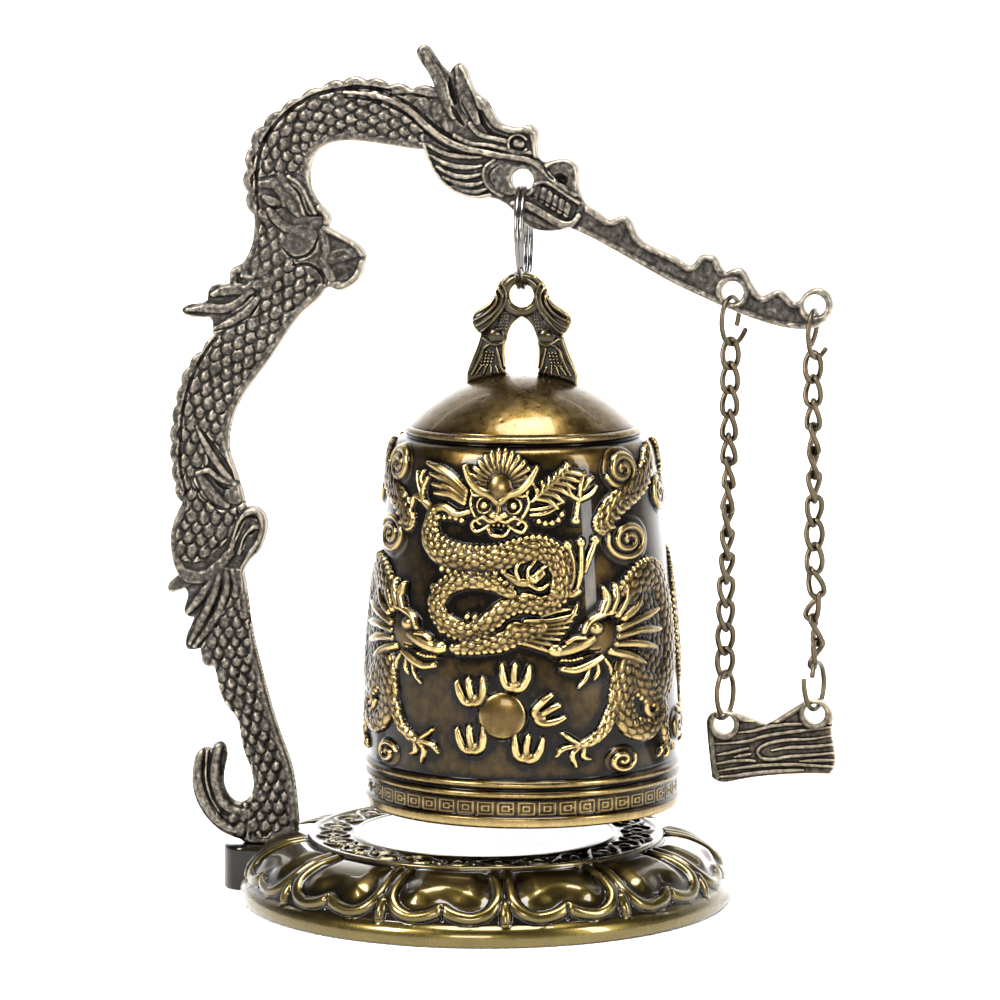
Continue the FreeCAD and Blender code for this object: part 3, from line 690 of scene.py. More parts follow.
# ---------------------------------------------------------------- dragon stand
CREST_LINE = [(-9.4, 113.9), (-13, 113.9), (-16.5, 114.5), (-20, 114.9), (-24, 114.4),
              (-27.5, 113.3), (-31, 110.9), (-33.7, 107.6), (-34.8, 104), (-35, 100.5),
              (-34.6, 97)]
BACK_LINE = [(-41.2, 79.3), (-43.6, 75.7), (-45.2, 71.9), (-46.1, 68), (-46.4, 64),
             (-46.4, 60.5), (-45.6, 57.2)]
NECK_SPINE = [(-9.5, 109.3), (-13, 110.4), (-17, 111), (-21, 111.3), (-25, 111.1),
              (-28.6, 109.5), (-31, 106.8), (-31.6, 103.5), (-31.8, 100), (-32.4, 96),
              (-33.4, 92.5), (-34.5, 89.5)]
TORSO_SPINE = [(-30, 90.5), (-32.3, 86.5), (-35, 82.3), (-38.4, 77.8), (-41, 73.4),
               (-42.5, 69), (-43.2, 64.5), (-43.1, 60), (-43, 56), (-43.2, 52),
               (-44, 48), (-43.8, 46)]
LEG_SPINE = [(-38.3, 43.6), (-39, 40), (-39.4, 36), (-39, 32), (-37.6, 28),
             (-36, 24), (-34.8, 20), (-34.2, 16), (-34, 12), (-34.4, 8)]
EAR_RIBS = [[(-10.6, 107), (-7.8, 105.7), (-5, 105.3), (-2.8, 105.3)],
            [(-10, 105.4), (-7.3, 104.1), (-4.7, 103.8), (-2.7, 104.1)],
            [(-9.2, 103.9), (-6.8, 102.7), (-4.4, 102.5), (-2.6, 103)],
            [(-8.2, 102.4), (-6, 101.5), (-3.9, 101.4), (-2.3, 101.9)],
            [(-6.8, 101.1), (-4.9, 100.5), (-3.3, 100.4), (-1.9, 100.9)]]
SHIN_RIBS = [[(-41.6, 45.2), (-43, 43), (-44.6, 40.9), (-45.7, 39.7)],
             [(-40.7, 45.9), (-41.7, 42.6), (-43.2, 39.2), (-45.2, 35.4)],
             [(-39.8, 46.2), (-39.9, 43), (-41.2, 39.6), (-43, 36.9), (-44.6, 35)]]
FIN_RIBS = [[(-41.5, 85.5), (-39.5, 86.2), (-37.4, 86.3), (-36, 86)],
            [(-45.2, 83.3), (-42.5, 83.6), (-40, 83.5), (-38, 84.3), (-36.5, 85.7)],
            [(-41.2, 80.7), (-38.8, 81.7), (-36.6, 83.1), (-35, 85)]]


def draw_dragon(s, depth):
    """The relief of the dragon.  Heights are counted from the plate's middle."""
    s.h[:] = 0.72 + 0.03 * wobble(s, 2.0, 3)
    deep = depth > 0.95
    s.scales(NECK_SPINE, 7.6, 0.72, (1.6, 1.75), 0.22, keep=deep, floor=0.6, dome=0.75)
    s.scales(TORSO_SPINE, 9.6, 0.72, (1.65, 1.8), 0.26, keep=deep, floor=0.6, dome=0.75)
    left_ok = deep | ((s.v < 40) & (s.u < -36) & (depth > 0.15))
    s.scales(LEG_SPINE, 8.4, 0.68, (1.45, 1.75), 0.3, keep=left_ok, floor=0.58, dome=0.75)
    # crest and belly strips along the outline
    strip = (depth > 0) & (depth <= 1.15)
    crown = 0.98 + 0.24 * np.sqrt(np.clip(1 - ((depth - 0.5) / 0.7) ** 2, 0, 1))
    body = strip & ~((s.v < 40) & (s.u < -36.5)) & (s.u < -9)
    s.h[body] = np.maximum(s.h[body], crown[body])
    s.groove(CREST_LINE, 0.7, 0.42, (1, 1))
    s.groove(BACK_LINE, 0.6, 0.35, (1, 1))
    draw_arm(s, depth)
    draw_head(s)
    draw_shoulder(s)
    draw_fins(s)
    draw_knee(s)
    draw_tail(s)
    s.h += 0.012 * wobble(s, 0.7, 5) + 0.022 * grit(s.h.shape, 1, 31) + 0.045 * grit(s.h.shape, 3, 32)


def draw_arm(s, depth):
    arm = (s.u > 10.2) & (s.v < 100)
    plain = 0.98 + 0.02 * wobble(s, 0.9, 9)
    raised = 0.3 * np.clip(1 - ((depth - 0.4) / 0.5) ** 2, 0, 1) ** 0.6
    level = plain + raised
    share = np.clip((s.u - 10.2) / 1.0, 0, 1)
    s.h = np.where(arm, s.h * (1 - share) + level * share, s.h)


def draw_head(s):
    s.patch([(-11.2, 107.8), (-10.6, 112.3), (-9.4, 114.6), (-11.6, 120.9), (-6.8, 117.2),
             (-5.2, 118.6), (-2.4, 113.6), (1, 110), (5.6, 109.6), (7, 105.4),
             (11.4, 105.6), (12.2, 98.6), (8.6, 95), (2, 97.2), (-2.4, 99.2),
             (-8, 100.6), (-10.6, 104.4)], 0.95, 0.4)
    # horns, and the hollow between them
    s.stroke([(-11, 120.2), (-9.7, 117.6), (-8.3, 114.8), (-7.4, 112.4), (-6.7, 110.9)],
             2.0, 0.55, (0.8, 0.5), floor=0.95)
    s.stroke([(-5.8, 117.6), (-5.4, 115.2), (-4.6, 112.6), (-3.4, 110.2)], 2.3, 0.5,
             (0.7, 0.5), floor=0.95)
    s.stroke([(-5.6, 117.9), (-3.9, 114.8), (-2.9, 112.2)], 0.7, 0.2, (1, 1), floor=1.35)
    s.groove([(-7.3, 116.4), (-7, 114.4), (-6.4, 112.6)], 0.7, 0.45)
    s.groove([(-6.9, 112.3), (-6.2, 110.8), (-5.3, 109.7)], 0.8, 0.5)
    s.groove([(-5.6, 112.9), (-4.6, 111.1), (-3.7, 109)], 0.5, 0.4)
    # round scales above the whisker
    for centre, radii, turn in (((-13.2, 113.2), (1.3, 0.8), 10), ((-11.2, 112.4), (1.4, 1.2), 0),
                                ((-8.9, 111.6), (1.1, 1.5), 20), ((-7.7, 109.8), (0.8, 1.3), 30)):
        s.bump(centre, radii, 0.42, turn, floor=0.9)
    s.stroke([(-15.2, 114.3), (-12.5, 114.5), (-9.3, 113.9)], 0.9, 0.3, floor=1.0)
    # the long whisker ridge from the neck to the nostril
    whisker = [(-22.3, 114.2), (-18.5, 113.9), (-15.2, 112.9), (-12.6, 111.4), (-10.6, 109.6),
               (-8.2, 107.8), (-5.5, 106.6), (-2.4, 105.9), (1, 105.3), (3.8, 104.9),
               (5.6, 103.9), (7.4, 102.2), (9.2, 100.9), (10.6, 100.2)]
    s.groove([(u, v - 0.75) for u, v in whisker[:9]], 0.7, 0.3)
    s.groove([(u + 0.15, v + 0.8) for u, v in whisker[1:10]], 0.6, 0.35)
    s.stroke(whisker, 1.05, 0.55, (0.5, 0.8), floor=1.08)
    s.stroke([(-6.6, 108.2), (-4.4, 107.2), (-1.4, 106.9), (1.4, 106.2), (4.2, 105.9)], 0.7, 0.36,
             floor=1.0)
    # forehead ridge down to the brow
    s.stroke([(-3, 113.7), (-2, 111.8), (-0.6, 110), (1.4, 109.2), (3.2, 109.3),
              (4.5, 108.7), (4.8, 107), (5, 105.6)], 1.35, 0.62, (0.8, 0.7), floor=1.02)
    s.groove([(-3.2, 112), (-2.4, 109.8), (-0.9, 108.4), (1, 108)], 0.65, 0.45)
    s.stroke([(-4.4, 109.9), (-3, 108.4), (-0.6, 107.8), (0.8, 107.5)], 0.8, 0.4, floor=1.0)
    # eye
    s.dent((2.5, 107.1), (1.9, 1.35), 0.35, -12)
    s.stroke(arc((2.4, 107.1), 1.35, 30, 330, 14), 0.42, 0.3, (1, 1), floor=1.0)
    s.bump((2.5, 107.2), (0.95, 0.72), 0.62, -12, floor=0.85)
    # ear fan
    s.patch([(-10.8, 107.4), (-6, 105.9), (-2.4, 105.6), (-1.8, 103), (-1.4, 100.3),
             (-4.6, 99.5), (-7.8, 101), (-9.8, 103.8)], 0.82, 0.25)
    for rib in EAR_RIBS:
        s.stroke(rib, 0.82, 0.46, (0.7, 0.6), floor=0.88)
    s.stroke([(-10.9, 106.9), (-10, 104.1), (-8.4, 101.8), (-6.2, 100.2), (-3.8, 99.6),
              (-1.6, 100)], 0.75, 0.5, (0.8, 0.8), floor=1.0)
    # cheek, and the plain side of the muzzle
    s.bump((0.9, 102.5), (3.4, 2.5), 0.42, -8, floor=1.06)
    s.stroke([(-0.9, 104.9), (-2.2, 103.9), (-2.4, 102.3), (-1.5, 100.9), (0.2, 99.9)], 0.6, 0.4,
             floor=1.0)
    s.groove([(-0.4, 104.2), (-1.5, 103.3), (-1.7, 102.2), (-0.9, 101.2)], 0.5, 0.25)
    s.bump((5.4, 102.6), (2.2, 1.4), 0.38, -30, floor=1.05)
    # nose lumps
    s.bump((8.9, 103.6), (2.1, 1.3), 0.5, -8, floor=1.02)
    s.bump((10, 101.7), (1, 2), 0.45, 12, floor=1.02)
    s.stroke([(6.3, 104), (7.4, 104.7), (9.3, 104.9), (10.5, 104.2), (10.8, 102.6),
              (11.3, 100.2)], 0.8, 0.45, floor=1.1)
    s.dent((8.6, 102.4), (1.1, 0.8), 0.42, -30)
    s.groove([(6, 104.3), (6.7, 103), (7.6, 102.2)], 0.45, 0.4)
    # mouth with a row of teeth
    s.patch([(4.1, 99.9), (5, 101.3), (6.4, 101.6), (10.6, 98.9), (10.5, 97.4), (9.2, 96.5),
             (6.6, 98)], 0.62, 0.25)
    for share in (0.0, 0.2, 0.4, 0.6, 0.8, 1.0):
        u, v = 5.4 + 4.3 * share, 100.6 - 2.55 * share
        s.stroke([(u - 0.2, v + 0.7), (u - 0.55, v - 0.8)], 0.98, 0.36, (1, 0.9), floor=0.7)
    s.groove([(4.5, 100), (6.6, 98.9), (9.6, 97.2)], 0.35, 0.25)
    s.stroke([(4.6, 101.5), (6.4, 101.9), (8.6, 100.6), (11, 99)], 0.6, 0.45, floor=1.08)
    s.stroke([(1.6, 98.9), (3.6, 98.7), (6.2, 97.3), (8.4, 96.1), (10, 96.1), (11, 97.2)],
             1.15, 0.48, (0.6, 0.7), floor=1.08)
    s.groove([(2.6, 98.2), (4.6, 97.4), (6.6, 96.4)], 0.4, 0.25)
    s.collar((3, 102.1), 1.8, 0.5, 1.16, 0.14, 2.3)


def draw_shoulder(s):
    s.patch([(-34.9, 102.2), (-31, 103), (-28.2, 102.6), (-25.3, 98), (-19.6, 92),
             (-20.2, 88.4), (-25, 87), (-29.2, 90), (-31.6, 95.2), (-34.6, 96.8)],
            1.0, 0.3)
    # muscle crescents
    for line, width in (
            ([(-34.3, 101.2), (-32.6, 101.3), (-31.4, 100.1), (-31, 98.4)], 1.3),
            ([(-33.9, 99.3), (-32.9, 98.8), (-31.7, 98.6)], 1),
            ([(-31.6, 102.4), (-30.6, 100.9), (-29.4, 100.4), (-28.6, 98.9), (-28.2, 97.3)], 1.4),
            ([(-30.9, 100), (-30, 98.4), (-29, 97)], 1.2),
            ([(-34.4, 97.2), (-33.4, 95.9)], 1.1),
            ([(-33.2, 97.5), (-32.2, 96), (-30.8, 95), (-29.4, 94.7)], 1.3)):
        s.stroke(line, width * 1.35, 0.5, (0.7, 0.6), floor=0.95)
    s.stroke([(-30.4, 102.3), (-28.6, 101), (-27.5, 98.9), (-26.6, 97.2)], 0.6, 0.4, floor=1.08)
    s.groove([(-30.2, 101.4), (-28.9, 100), (-28.2, 98.2), (-27.6, 96.9), (-25.9, 96.8)],
             0.5, 0.45)
    s.groove([(-33.6, 98.3), (-32.4, 97.8), (-31.3, 98)], 0.4, 0.35)
    s.groove([(-33.5, 96.9), (-32.6, 95.6), (-31, 94.4), (-29.6, 94.1)], 0.4, 0.35)
    # forearm and paw, in broad facets
    s.bump((-28.6, 93), (3, 2.5), 0.34, 20, floor=1.02)
    s.groove([(-31.2, 92.2), (-30, 91), (-28.3, 91), (-26.9, 92), (-26, 94.2)],
             0.55, 0.4)
    s.stroke([(-25.2, 95), (-22.8, 94), (-20.9, 92.8), (-19.9, 91.6)], 1.0, 0.4, floor=1.08)
    s.stroke([(-25.5, 94.5), (-25, 92), (-25.2, 90), (-24.2, 88)], 1.2, 0.36, floor=1.06)
    s.stroke([(-25.2, 90.6), (-22.9, 91.3), (-20.6, 91.7)], 1.9, 0.36, (1, 0.7), floor=1.0)
    s.stroke([(-24.4, 87.2), (-22.4, 87.1), (-20.8, 88.2), (-19.9, 90.2)], 1.0, 0.4, floor=1.08)
    s.stroke([(-25.9, 97.9), (-25, 97), (-24.9, 96)], 1.1, 0.4, floor=1.02)
    s.dent((-22.6, 88.8), (1.6, 0.9), 0.3, 10)
    s.dent((-23, 91.4), (1.3, 0.6), 0.2, 10)
    s.groove([(-29.9, 89.8), (-27.5, 89.9), (-25.6, 88.6), (-25.4, 87.2)], 0.6, 0.4)


def draw_fins(s):
    s.patch([(-42.2, 79.9), (-42.8, 82), (-46, 82.6), (-46, 83.8), (-42.6, 84.8),
             (-42.2, 86.5), (-39.4, 87.2), (-36.4, 87), (-34.5, 85.6), (-35.4, 82.9),
             (-38.4, 80.9)], 0.78, 0.3)
    for rib, width in zip(FIN_RIBS, (1.9, 1.5, 1.5)):
        s.stroke(rib, width, 0.6, (0.45, 0.7), floor=0.8)
    s.stroke([(-38.6, 83), (-37, 83.9), (-35.6, 85.2)], 0.6, 0.4, floor=0.8)
    # haunch lobes above the fin
    for line, width in (([(-38.9, 87.6), (-38.3, 89), (-36.9, 89.2)], 1.2),
                        ([(-38.2, 87), (-36.8, 86.5), (-35.6, 87.4)], 1.1),
                        ([(-37.2, 88.2), (-35.8, 88), (-35, 89)], 0.9)):
        s.stroke(line, width, 0.5, (0.7, 0.7), floor=0.95)
    s.patch([(-46.8, 43.4), (-46.8, 39), (-46.4, 34), (-44, 34.3), (-41.4, 38.4),
             (-39.2, 42), (-38.9, 46.6), (-42, 45.6)], 0.74, 0.25)
    for rib in SHIN_RIBS:
        s.stroke(rib, 1.5, 0.68, (0.8, 0.5), floor=0.76)
    s.stroke([(-38.9, 46.2), (-38.5, 44.4), (-38.3, 43.2)], 1.0, 0.45, floor=0.9)
    s.stroke([(-37.5, 46.2), (-37.3, 44.4), (-37.5, 43)], 0.8, 0.45, floor=0.95)
    s.bump((-42.7, 33.6), (0.9, 1.5), 0.5, 0, floor=0.8)


def draw_knee(s):
    # two diagonal sinews and the lumps where they meet
    s.patch([(-44.6, 67), (-42.8, 66), (-39, 61), (-37, 57), (-38, 55.2),
             (-41.2, 54.8), (-44, 58.6), (-44.4, 60.6), (-42.4, 61.6)], 0.85, 0.25)
    s.stroke([(-43.9, 66.6), (-43, 64.6), (-41.5, 62.1), (-39.9, 60), (-38.5, 58.5)],
             1.15, 0.62, (0.5, 0.8), floor=0.92)
    s.stroke([(-40.3, 65.6), (-39.7, 63), (-38.7, 61), (-38.2, 59.3)], 0.7, 0.4, floor=0.98)
    s.stroke([(-43.9, 59.9), (-42.3, 60.3), (-40.6, 59.2), (-39.2, 58.7)], 1.0, 0.5, floor=0.95)
    s.stroke([(-43.5, 59.4), (-42.4, 57.6), (-41, 56.2), (-39.6, 55.4)], 1.7, 0.48, (0.7, 0.6),
             floor=0.98)
    s.bump((-38.5, 57), (1.6, 1.5), 0.5, 0, floor=1.0)
    s.groove([(-41.6, 59.1), (-40.2, 57.9), (-39.3, 57.9)], 0.5, 0.4)
    s.groove([(-44.6, 58.9), (-43.4, 56.8), (-41.8, 55.4)], 0.4, 0.3)
    # knee curl and the smooth band under the thigh
    s.patch([(-47.6, 48.2), (-44.6, 47.2), (-41.8, 48.6), (-39.4, 51), (-37.8, 54.6),
             (-35.4, 55.6), (-33.6, 52.8), (-35.6, 48.6), (-37.2, 46.4), (-38.6, 46.2),
             (-41, 46.2), (-44.6, 43.8), (-48.8, 43)], 0.98, 0.3)
    s.stroke([(-47.4, 47.6), (-46, 45.4), (-43.6, 45), (-41.2, 46.4), (-39.2, 48.6)],
             1.9, 0.5, (0.6, 0.8), floor=1.0)
    s.stroke([(-39.8, 47.4), (-38.8, 50), (-37.9, 52.6), (-36.6, 54.4), (-35.2, 54.6),
              (-34.4, 53.2), (-34.8, 50.8), (-36.2, 48.6), (-37.4, 46.6)], 1.15, 0.5,
             (0.8, 0.7), floor=1.02)
    s.stroke([(-37.9, 48.6), (-37, 50.8), (-36, 52.2), (-35.2, 52.4)], 0.8, 0.4, floor=1.0)
    s.groove([(-38.5, 50.6), (-37.5, 52.9), (-36.4, 53.9), (-35.2, 53.6)], 0.5, 0.5)
    s.groove([(-37.5, 49.2), (-36.7, 51), (-35.5, 52)], 0.5, 0.45)


def draw_tail(s):
    s.patch([(-42.6, 20.6), (-39.6, 20.8), (-40.2, 16.6), (-39.6, 13.4), (-37.8, 12.6),
             (-36.8, 10.2), (-37.6, 6.6), (-41.4, 7.4), (-45, 11.6), (-46, 16.6),
             (-44.6, 20.4)], 0.8, 0.3)
    s.stroke([(-43.9, 19.4), (-44.3, 16.2), (-43.7, 13.2), (-42.2, 10.7), (-40.4, 9),
              (-38.6, 8.2)], 1.5, 0.62, (0.8, 0.7), floor=0.84)
    s.stroke([(-41.2, 20.3), (-41.7, 17.6), (-41.6, 15.2), (-40.9, 12.9), (-39.6, 11.4),
              (-38.2, 11)], 1.6, 0.62, (0.8, 0.7), floor=0.84)
    s.stroke([(-42.9, 19.6), (-43.1, 16.4), (-42.5, 13.4), (-41.1, 11)], 0.45, 0.3, floor=0.8)
    s.groove([(-42.5, 19.8), (-42.8, 16.2), (-42.1, 13), (-40.8, 10.9), (-39.2, 9.9)], 0.4, 0.3)
    s.groove([(-43.3, 19.4), (-43.6, 16.2), (-42.9, 13.2), (-41.5, 10.5)], 0.3, 0.22)
    for centre in ((-38.9, 10.4), (-37.4, 10.6), (-38, 8.4), (-36.3, 9)):
        s.bump(centre, (0.95, 1.2), 0.5, -15, floor=0.85)


dragon = casting("dragon_casting", "dragon_stand", 1.5, 0.13, draw_dragon, bulge=0.05)
settle(dragon, DRAGON_METAL, "stand", "stand_bronze", "dragon_stand")


# ---------------------------------------------------------------- bell
BELL_X = 3.0
CELL = 0.16                  # mesh size of the bell's and the base's relief
SHEET_R = 20.5               # the relief is drawn on an unrolled cylinder of this radius
HALF_TURN = math.pi * SHEET_R
DOME_TOP, DOME_R, EAVE_R = 75.0, 21.2, 16.2
BEAD_AT, BEAD_SIZE = (16.15, 67.1), 0.65
BODY = [(16.3, 66.5), (17.6, 65.9), (18.3, 64.6), (18.7, 62.5), (19.7, 54), (20.7, 45),
        (21.5, 36), (21.95, 28), (22, 21.2)]
BAND_R, LIP_R, LIP_LOW, LIP_HIGH = 21.9, 22.45, 14.2, 15.8
RIDGES = ((20.2, 0.62), (18.8, 0.62))
BAND_TOP = 21.2              # the plain band with the ridges reaches up to here
WALL = 2.0
DOME_ROWS = 110
DOME_PITS, PIT_REACH = 90, 6 # small casting pits in the dome, and their reach in cells
DOME_WORN, BAND_WORN = 0.14, 0.13      # these lift the dome and the key band out of the patina
PEARL = (0.9, 29.9)
KEY_COUNT, KEY_MIDDLE = 24, 16.95


def bell_wall(z):
    """Outer radius at a height below the shoulder, ridges and lip included."""
    line = smooth(BODY, 0.2)
    r = np.interp(z, line[::-1, 1], line[::-1, 0])
    r = np.where(z < BAND_TOP, BAND_R, r)
    for at, size in RIDGES:
        out = size ** 2 - (z - at) ** 2
        r = np.where(out > 0, BAND_R + np.sqrt(np.clip(out, 0, None)), r)
    edge = np.clip(np.abs(z - (LIP_LOW + LIP_HIGH) / 2) - 0.4, 0, None)
    lip = LIP_R - 0.4 + np.sqrt(np.clip(0.4 ** 2 - edge ** 2, 0, None))
    return np.where((z <= LIP_HIGH) & (z >= LIP_LOW - 0.01), np.maximum(r, lip), r)


def bell_profile(vs):
    """Rows from the dome's middle down to the lip, under it, and up inside."""
    rows = []
    for share in np.linspace(0, 1, DOME_ROWS):
        r = 0.05 + (EAVE_R - 0.35) * share
        rows.append((r, DOME_TOP - DOME_R + math.sqrt(DOME_R ** 2 - r ** 2)))
    for angle in np.linspace(115, -70, 14):
        rows.append((BEAD_AT[0] + BEAD_SIZE * math.cos(math.radians(angle)),
                     BEAD_AT[1] + BEAD_SIZE * math.sin(math.radians(angle))))
    first = len(rows)
    rows += list(zip(bell_wall(vs[::-1]), vs[::-1]))
    last = len(rows)
    low = LIP_LOW
    rows += [(LIP_R - 0.5, low), (21.4, low), (20.6, low), (20.1, low), (19.9, low + 0.15)]
    for z in np.linspace(low + 0.5, 65.0, 60):
        rows.append((float(np.interp(z, [b[1] for b in BODY[::-1]], [b[0] for b in BODY[::-1]]))
                     - WALL, z))
    for share in np.linspace(0.97, 0.01, 26):
        r = (EAVE_R - WALL) * share
        rows.append((r, DOME_TOP - DOME_R + math.sqrt((DOME_R - WALL) ** 2 - r ** 2)))
    return rows, slice(first, last)


def cloud(s, centre, radii, turns, start, hand, width=1.25):
    s.bump(centre, (radii[0] * 1.2, radii[1] * 1.25), 0.3, power=0.3)
    s.stroke(spiral(centre, radii, turns, start, 0.12, hand), width, 0.6, (0.7, 0.9), floor=0.15)


def claw(s, centre, size, turn):
    """A W-shaped claw: three prongs on a rounded foot."""
    c, n = math.cos(math.radians(turn)), math.sin(math.radians(turn))

    def at(points):
        return [(centre[0] + size * (x * c - y * n), centre[1] + size * (x * n + y * c))
                for x, y in points]
    for prong in ([(-1.75, 1.5), (-1.5, 0), (-1, -1.2), (-0.2, -1.5), (0.4, -0.9)],
                  [(1.75, 1.5), (1.6, 0.1), (1.1, -1.2), (0.3, -1.6), (-0.3, -1.1)]):
        s.stroke(at(prong), 1.15 * size, 0.7, (0.6, 0.9), floor=0.08)
    s.stroke(at([(-0.1, 1.7), (-0.15, 0.4), (0, -1.2)]), 1.05 * size, 0.68, (0.7, 0.9),
             floor=0.08)
    s.bump(at([(-0.1, 1.5)])[0], (0.5 * size, 0.45 * size), 0.6, floor=0.08)


def scaly(s, line, width, body, taper, spine=True, pitch=(1.05, 1.05), hand=1):
    """A dragon's body: a round bar of small scales with a beaded spine."""
    s.scales(line, width, 0.3, pitch, body, taper=taper, floor=0.12)
    if spine:
        pts = smooth(line, 0.4)
        ahead = np.gradient(pts, axis=0)
        ahead /= np.maximum(np.hypot(*ahead.T), 1e-9)[:, None]
        share = np.linspace(0, 1, len(pts))
        half = width * 0.46 * np.interp(share, np.linspace(0, 1, len(taper)), taper)
        side = np.stack([-ahead[:, 1], ahead[:, 0]], 1) * hand
        s.beads(pts + side * half[:, None], 0.95, 0.5, 0.95, floor=0.25)


def draw_face(s):
    """The dragon's mask, seen from the front, with its wings."""
    s.bump((0.3, 61.2), (4.6, 4.2), 0.45, floor=0.1, power=0.3)
    for angle in np.radians(np.linspace(5, 175, 14)):
        c, n = math.cos(angle), 0.95 * math.sin(angle)
        s.stroke([(0.3 + reach * c, 61.2 + reach * n) for reach in (2, 4.7)], 0.86, 0.5,
                 (0.7, 0.9), floor=0.42)
    s.bump((0.2, 60.9), (2.1, 2.3), 0.85, floor=0.45, power=0.6)
    s.bump((0.1, 58), (4, 3.2), 0.6, floor=0.25, power=0.6)
    for side in (-1, 1):
        def at(points, side=side):
            return [(0.1 + side * u, v) for u, v in points]
        s.stroke(at([(5.4, 63.6), (4.4, 62), (3.1, 60.7), (1.5, 60), (0.2, 59)]), 1.25, 0.6,
                 (0.6, 0.9), floor=0.65)
        s.stroke(at([(4.2, 60.6), (3.7, 59.9), (2.3, 59.9), (1.2, 59.5)]), 0.5, 0.4, (0.6, 0.8),
                 floor=0.6)
        s.dent((0.1 + side * 2.1, 58.55), (1.35, 1.25), 0.42)
        s.stroke(at(arc((2.1, 58.55), 1.05, 0, 360, 16)), 0.36, 0.36, (1, 1), floor=0.5)
        s.bump((0.1 + side * 2.1, 58.55), (0.62, 0.62), 0.75, floor=0.45)
        s.stroke(at([(4, 60.2), (4.25, 58.8), (3.7, 57.4), (3.2, 56.8)]), 0.5, 0.4, (0.7, 0.7),
                 floor=0.4)
        s.bump((0.1 + side * 0.75, 57.25), (0.62, 0.5), 0.62, floor=0.7)
        s.stroke(at([(0.2, 56.5), (1.2, 56.4), (2.2, 56.9), (3.2, 56.6)]), 0.6, 0.45, (0.9, 0.5),
                 floor=0.6)
        s.stroke(at([(1.4, 55.9), (2.4, 55.2), (3.4, 55), (3.9, 55.9), (3.3, 56.5),
                     (2.7, 56)]), 0.62, 0.5, (0.7, 0.8), floor=0.4)
    s.stroke([(0.1, 60.2), (0.1, 58.6), (0.1, 57.4)], 0.95, 0.5, (0.6, 1), floor=0.62)
    s.bump((0.1, 57), (0.8, 0.6), 0.5, floor=0.8)
    s.dent((0.1, 55.5), (1.3, 0.75), 0.75)
    s.stroke([(-1.5, 55.5), (-0.9, 54.6), (0.1, 54.4), (1.1, 54.6), (1.7, 55.5)], 0.6, 0.45,
             (0.7, 0.7), floor=0.35)
    for u in (-0.6, 0.1, 0.8):
        s.bump((u, 55.95), (0.26, 0.34), 0.4, floor=0.3)
    # left wing: long tapered ribs
    for root, tip in (((-4.9, 60.4), (-12.4, 63.8)), ((-5, 59.9), (-11.6, 62.4)),
                      ((-5.1, 59.3), (-11, 61)), ((-5.2, 58.8), (-10.4, 59.8))):
        middle = ((root[0] + tip[0]) / 2 + 0.2, (root[1] + tip[1]) / 2 + 0.55)
        s.stroke([root, middle, tip], 1.25, 0.62, (0.8, 0.4), floor=0.2)
    # right wing: feather with barbs
    s.stroke([(4.9, 59.2), (6.6, 60.6), (8.6, 62.2), (10.4, 63.4)], 0.8, 0.6, (0.8, 0.5),
             floor=0.2)
    for share in np.linspace(0.05, 0.95, 6):
        u, v = 5.2 + 5.0 * share, 59.4 + 3.9 * share
        s.stroke([(u, v), (u + 1.7, v - 0.3), (u + 3.1, v - 1.5 + share)], 1.0, 0.6, (0.9, 0.6),
                 floor=0.2)
        s.stroke([(u, v), (u + 0.2, v + 0.8), (u - 0.3 + share, v + 1.7 - share)], 0.9, 0.5,
                 (0.9, 0.6), floor=0.2)
    for v, end in ((58, 9.2), (57.3, 8.4)):
        s.stroke([(4.6, v), (6.6, v + 0.2), (end, v + 0.9)], 0.7, 0.55, (0.7, 0.6), floor=0.12)
    s.beads([(5.3, 56.6), (7, 56.1), (8.7, 56.6), (9.4, 57.8)], 0.95, 0.6, 0.95, floor=0.14)
    # trident
    s.stroke([(11.2, 56.3), (11.5, 58), (11.9, 59.6)], 0.85, 0.6, (1, 0.8), floor=0.12)
    s.bump((11.3, 56.4), (0.75, 0.6), 0.65, floor=0.12)
    for prong in ([(11.7, 59.2), (10.6, 60), (10.1, 61.3), (9.8, 62.7)],
                  [(11.9, 59.4), (12.2, 61.2), (12.9, 62.9)],
                  [(12, 59.2), (13.6, 59.8), (15, 60.9)],
                  [(12.6, 60.6), (13.4, 61.6), (14.5, 62.2)]):
        s.stroke(prong, 0.85, 0.6, (0.9, 0.5), floor=0.14)
    # left foreleg with its claw
    s.stroke([(-4.4, 57.6), (-6.4, 57.2), (-8.6, 58), (-10.6, 57.6), (-12.6, 58.6)], 1.3, 0.62,
             (0.7, 0.8), floor=0.12)
    for line in ([(-12.2, 58.6), (-12.6, 60.2), (-11.9, 61.8)], [(-12.6, 58.8), (-13.6, 60.6),
                 (-14.4, 62.4)], [(-12.9, 58.6), (-14.3, 59), (-14.9, 57.4)],
                 [(-12.4, 60.4), (-13.2, 61.6), (-13, 62.6)]):
        s.stroke(line, 0.75, 0.62, (0.9, 0.6), floor=0.14)
    s.beads([(-5, 56.2), (-7, 56.7), (-9.2, 56.6), (-10.6, 57.2)], 0.9, 0.55, 0.95, floor=0.14)


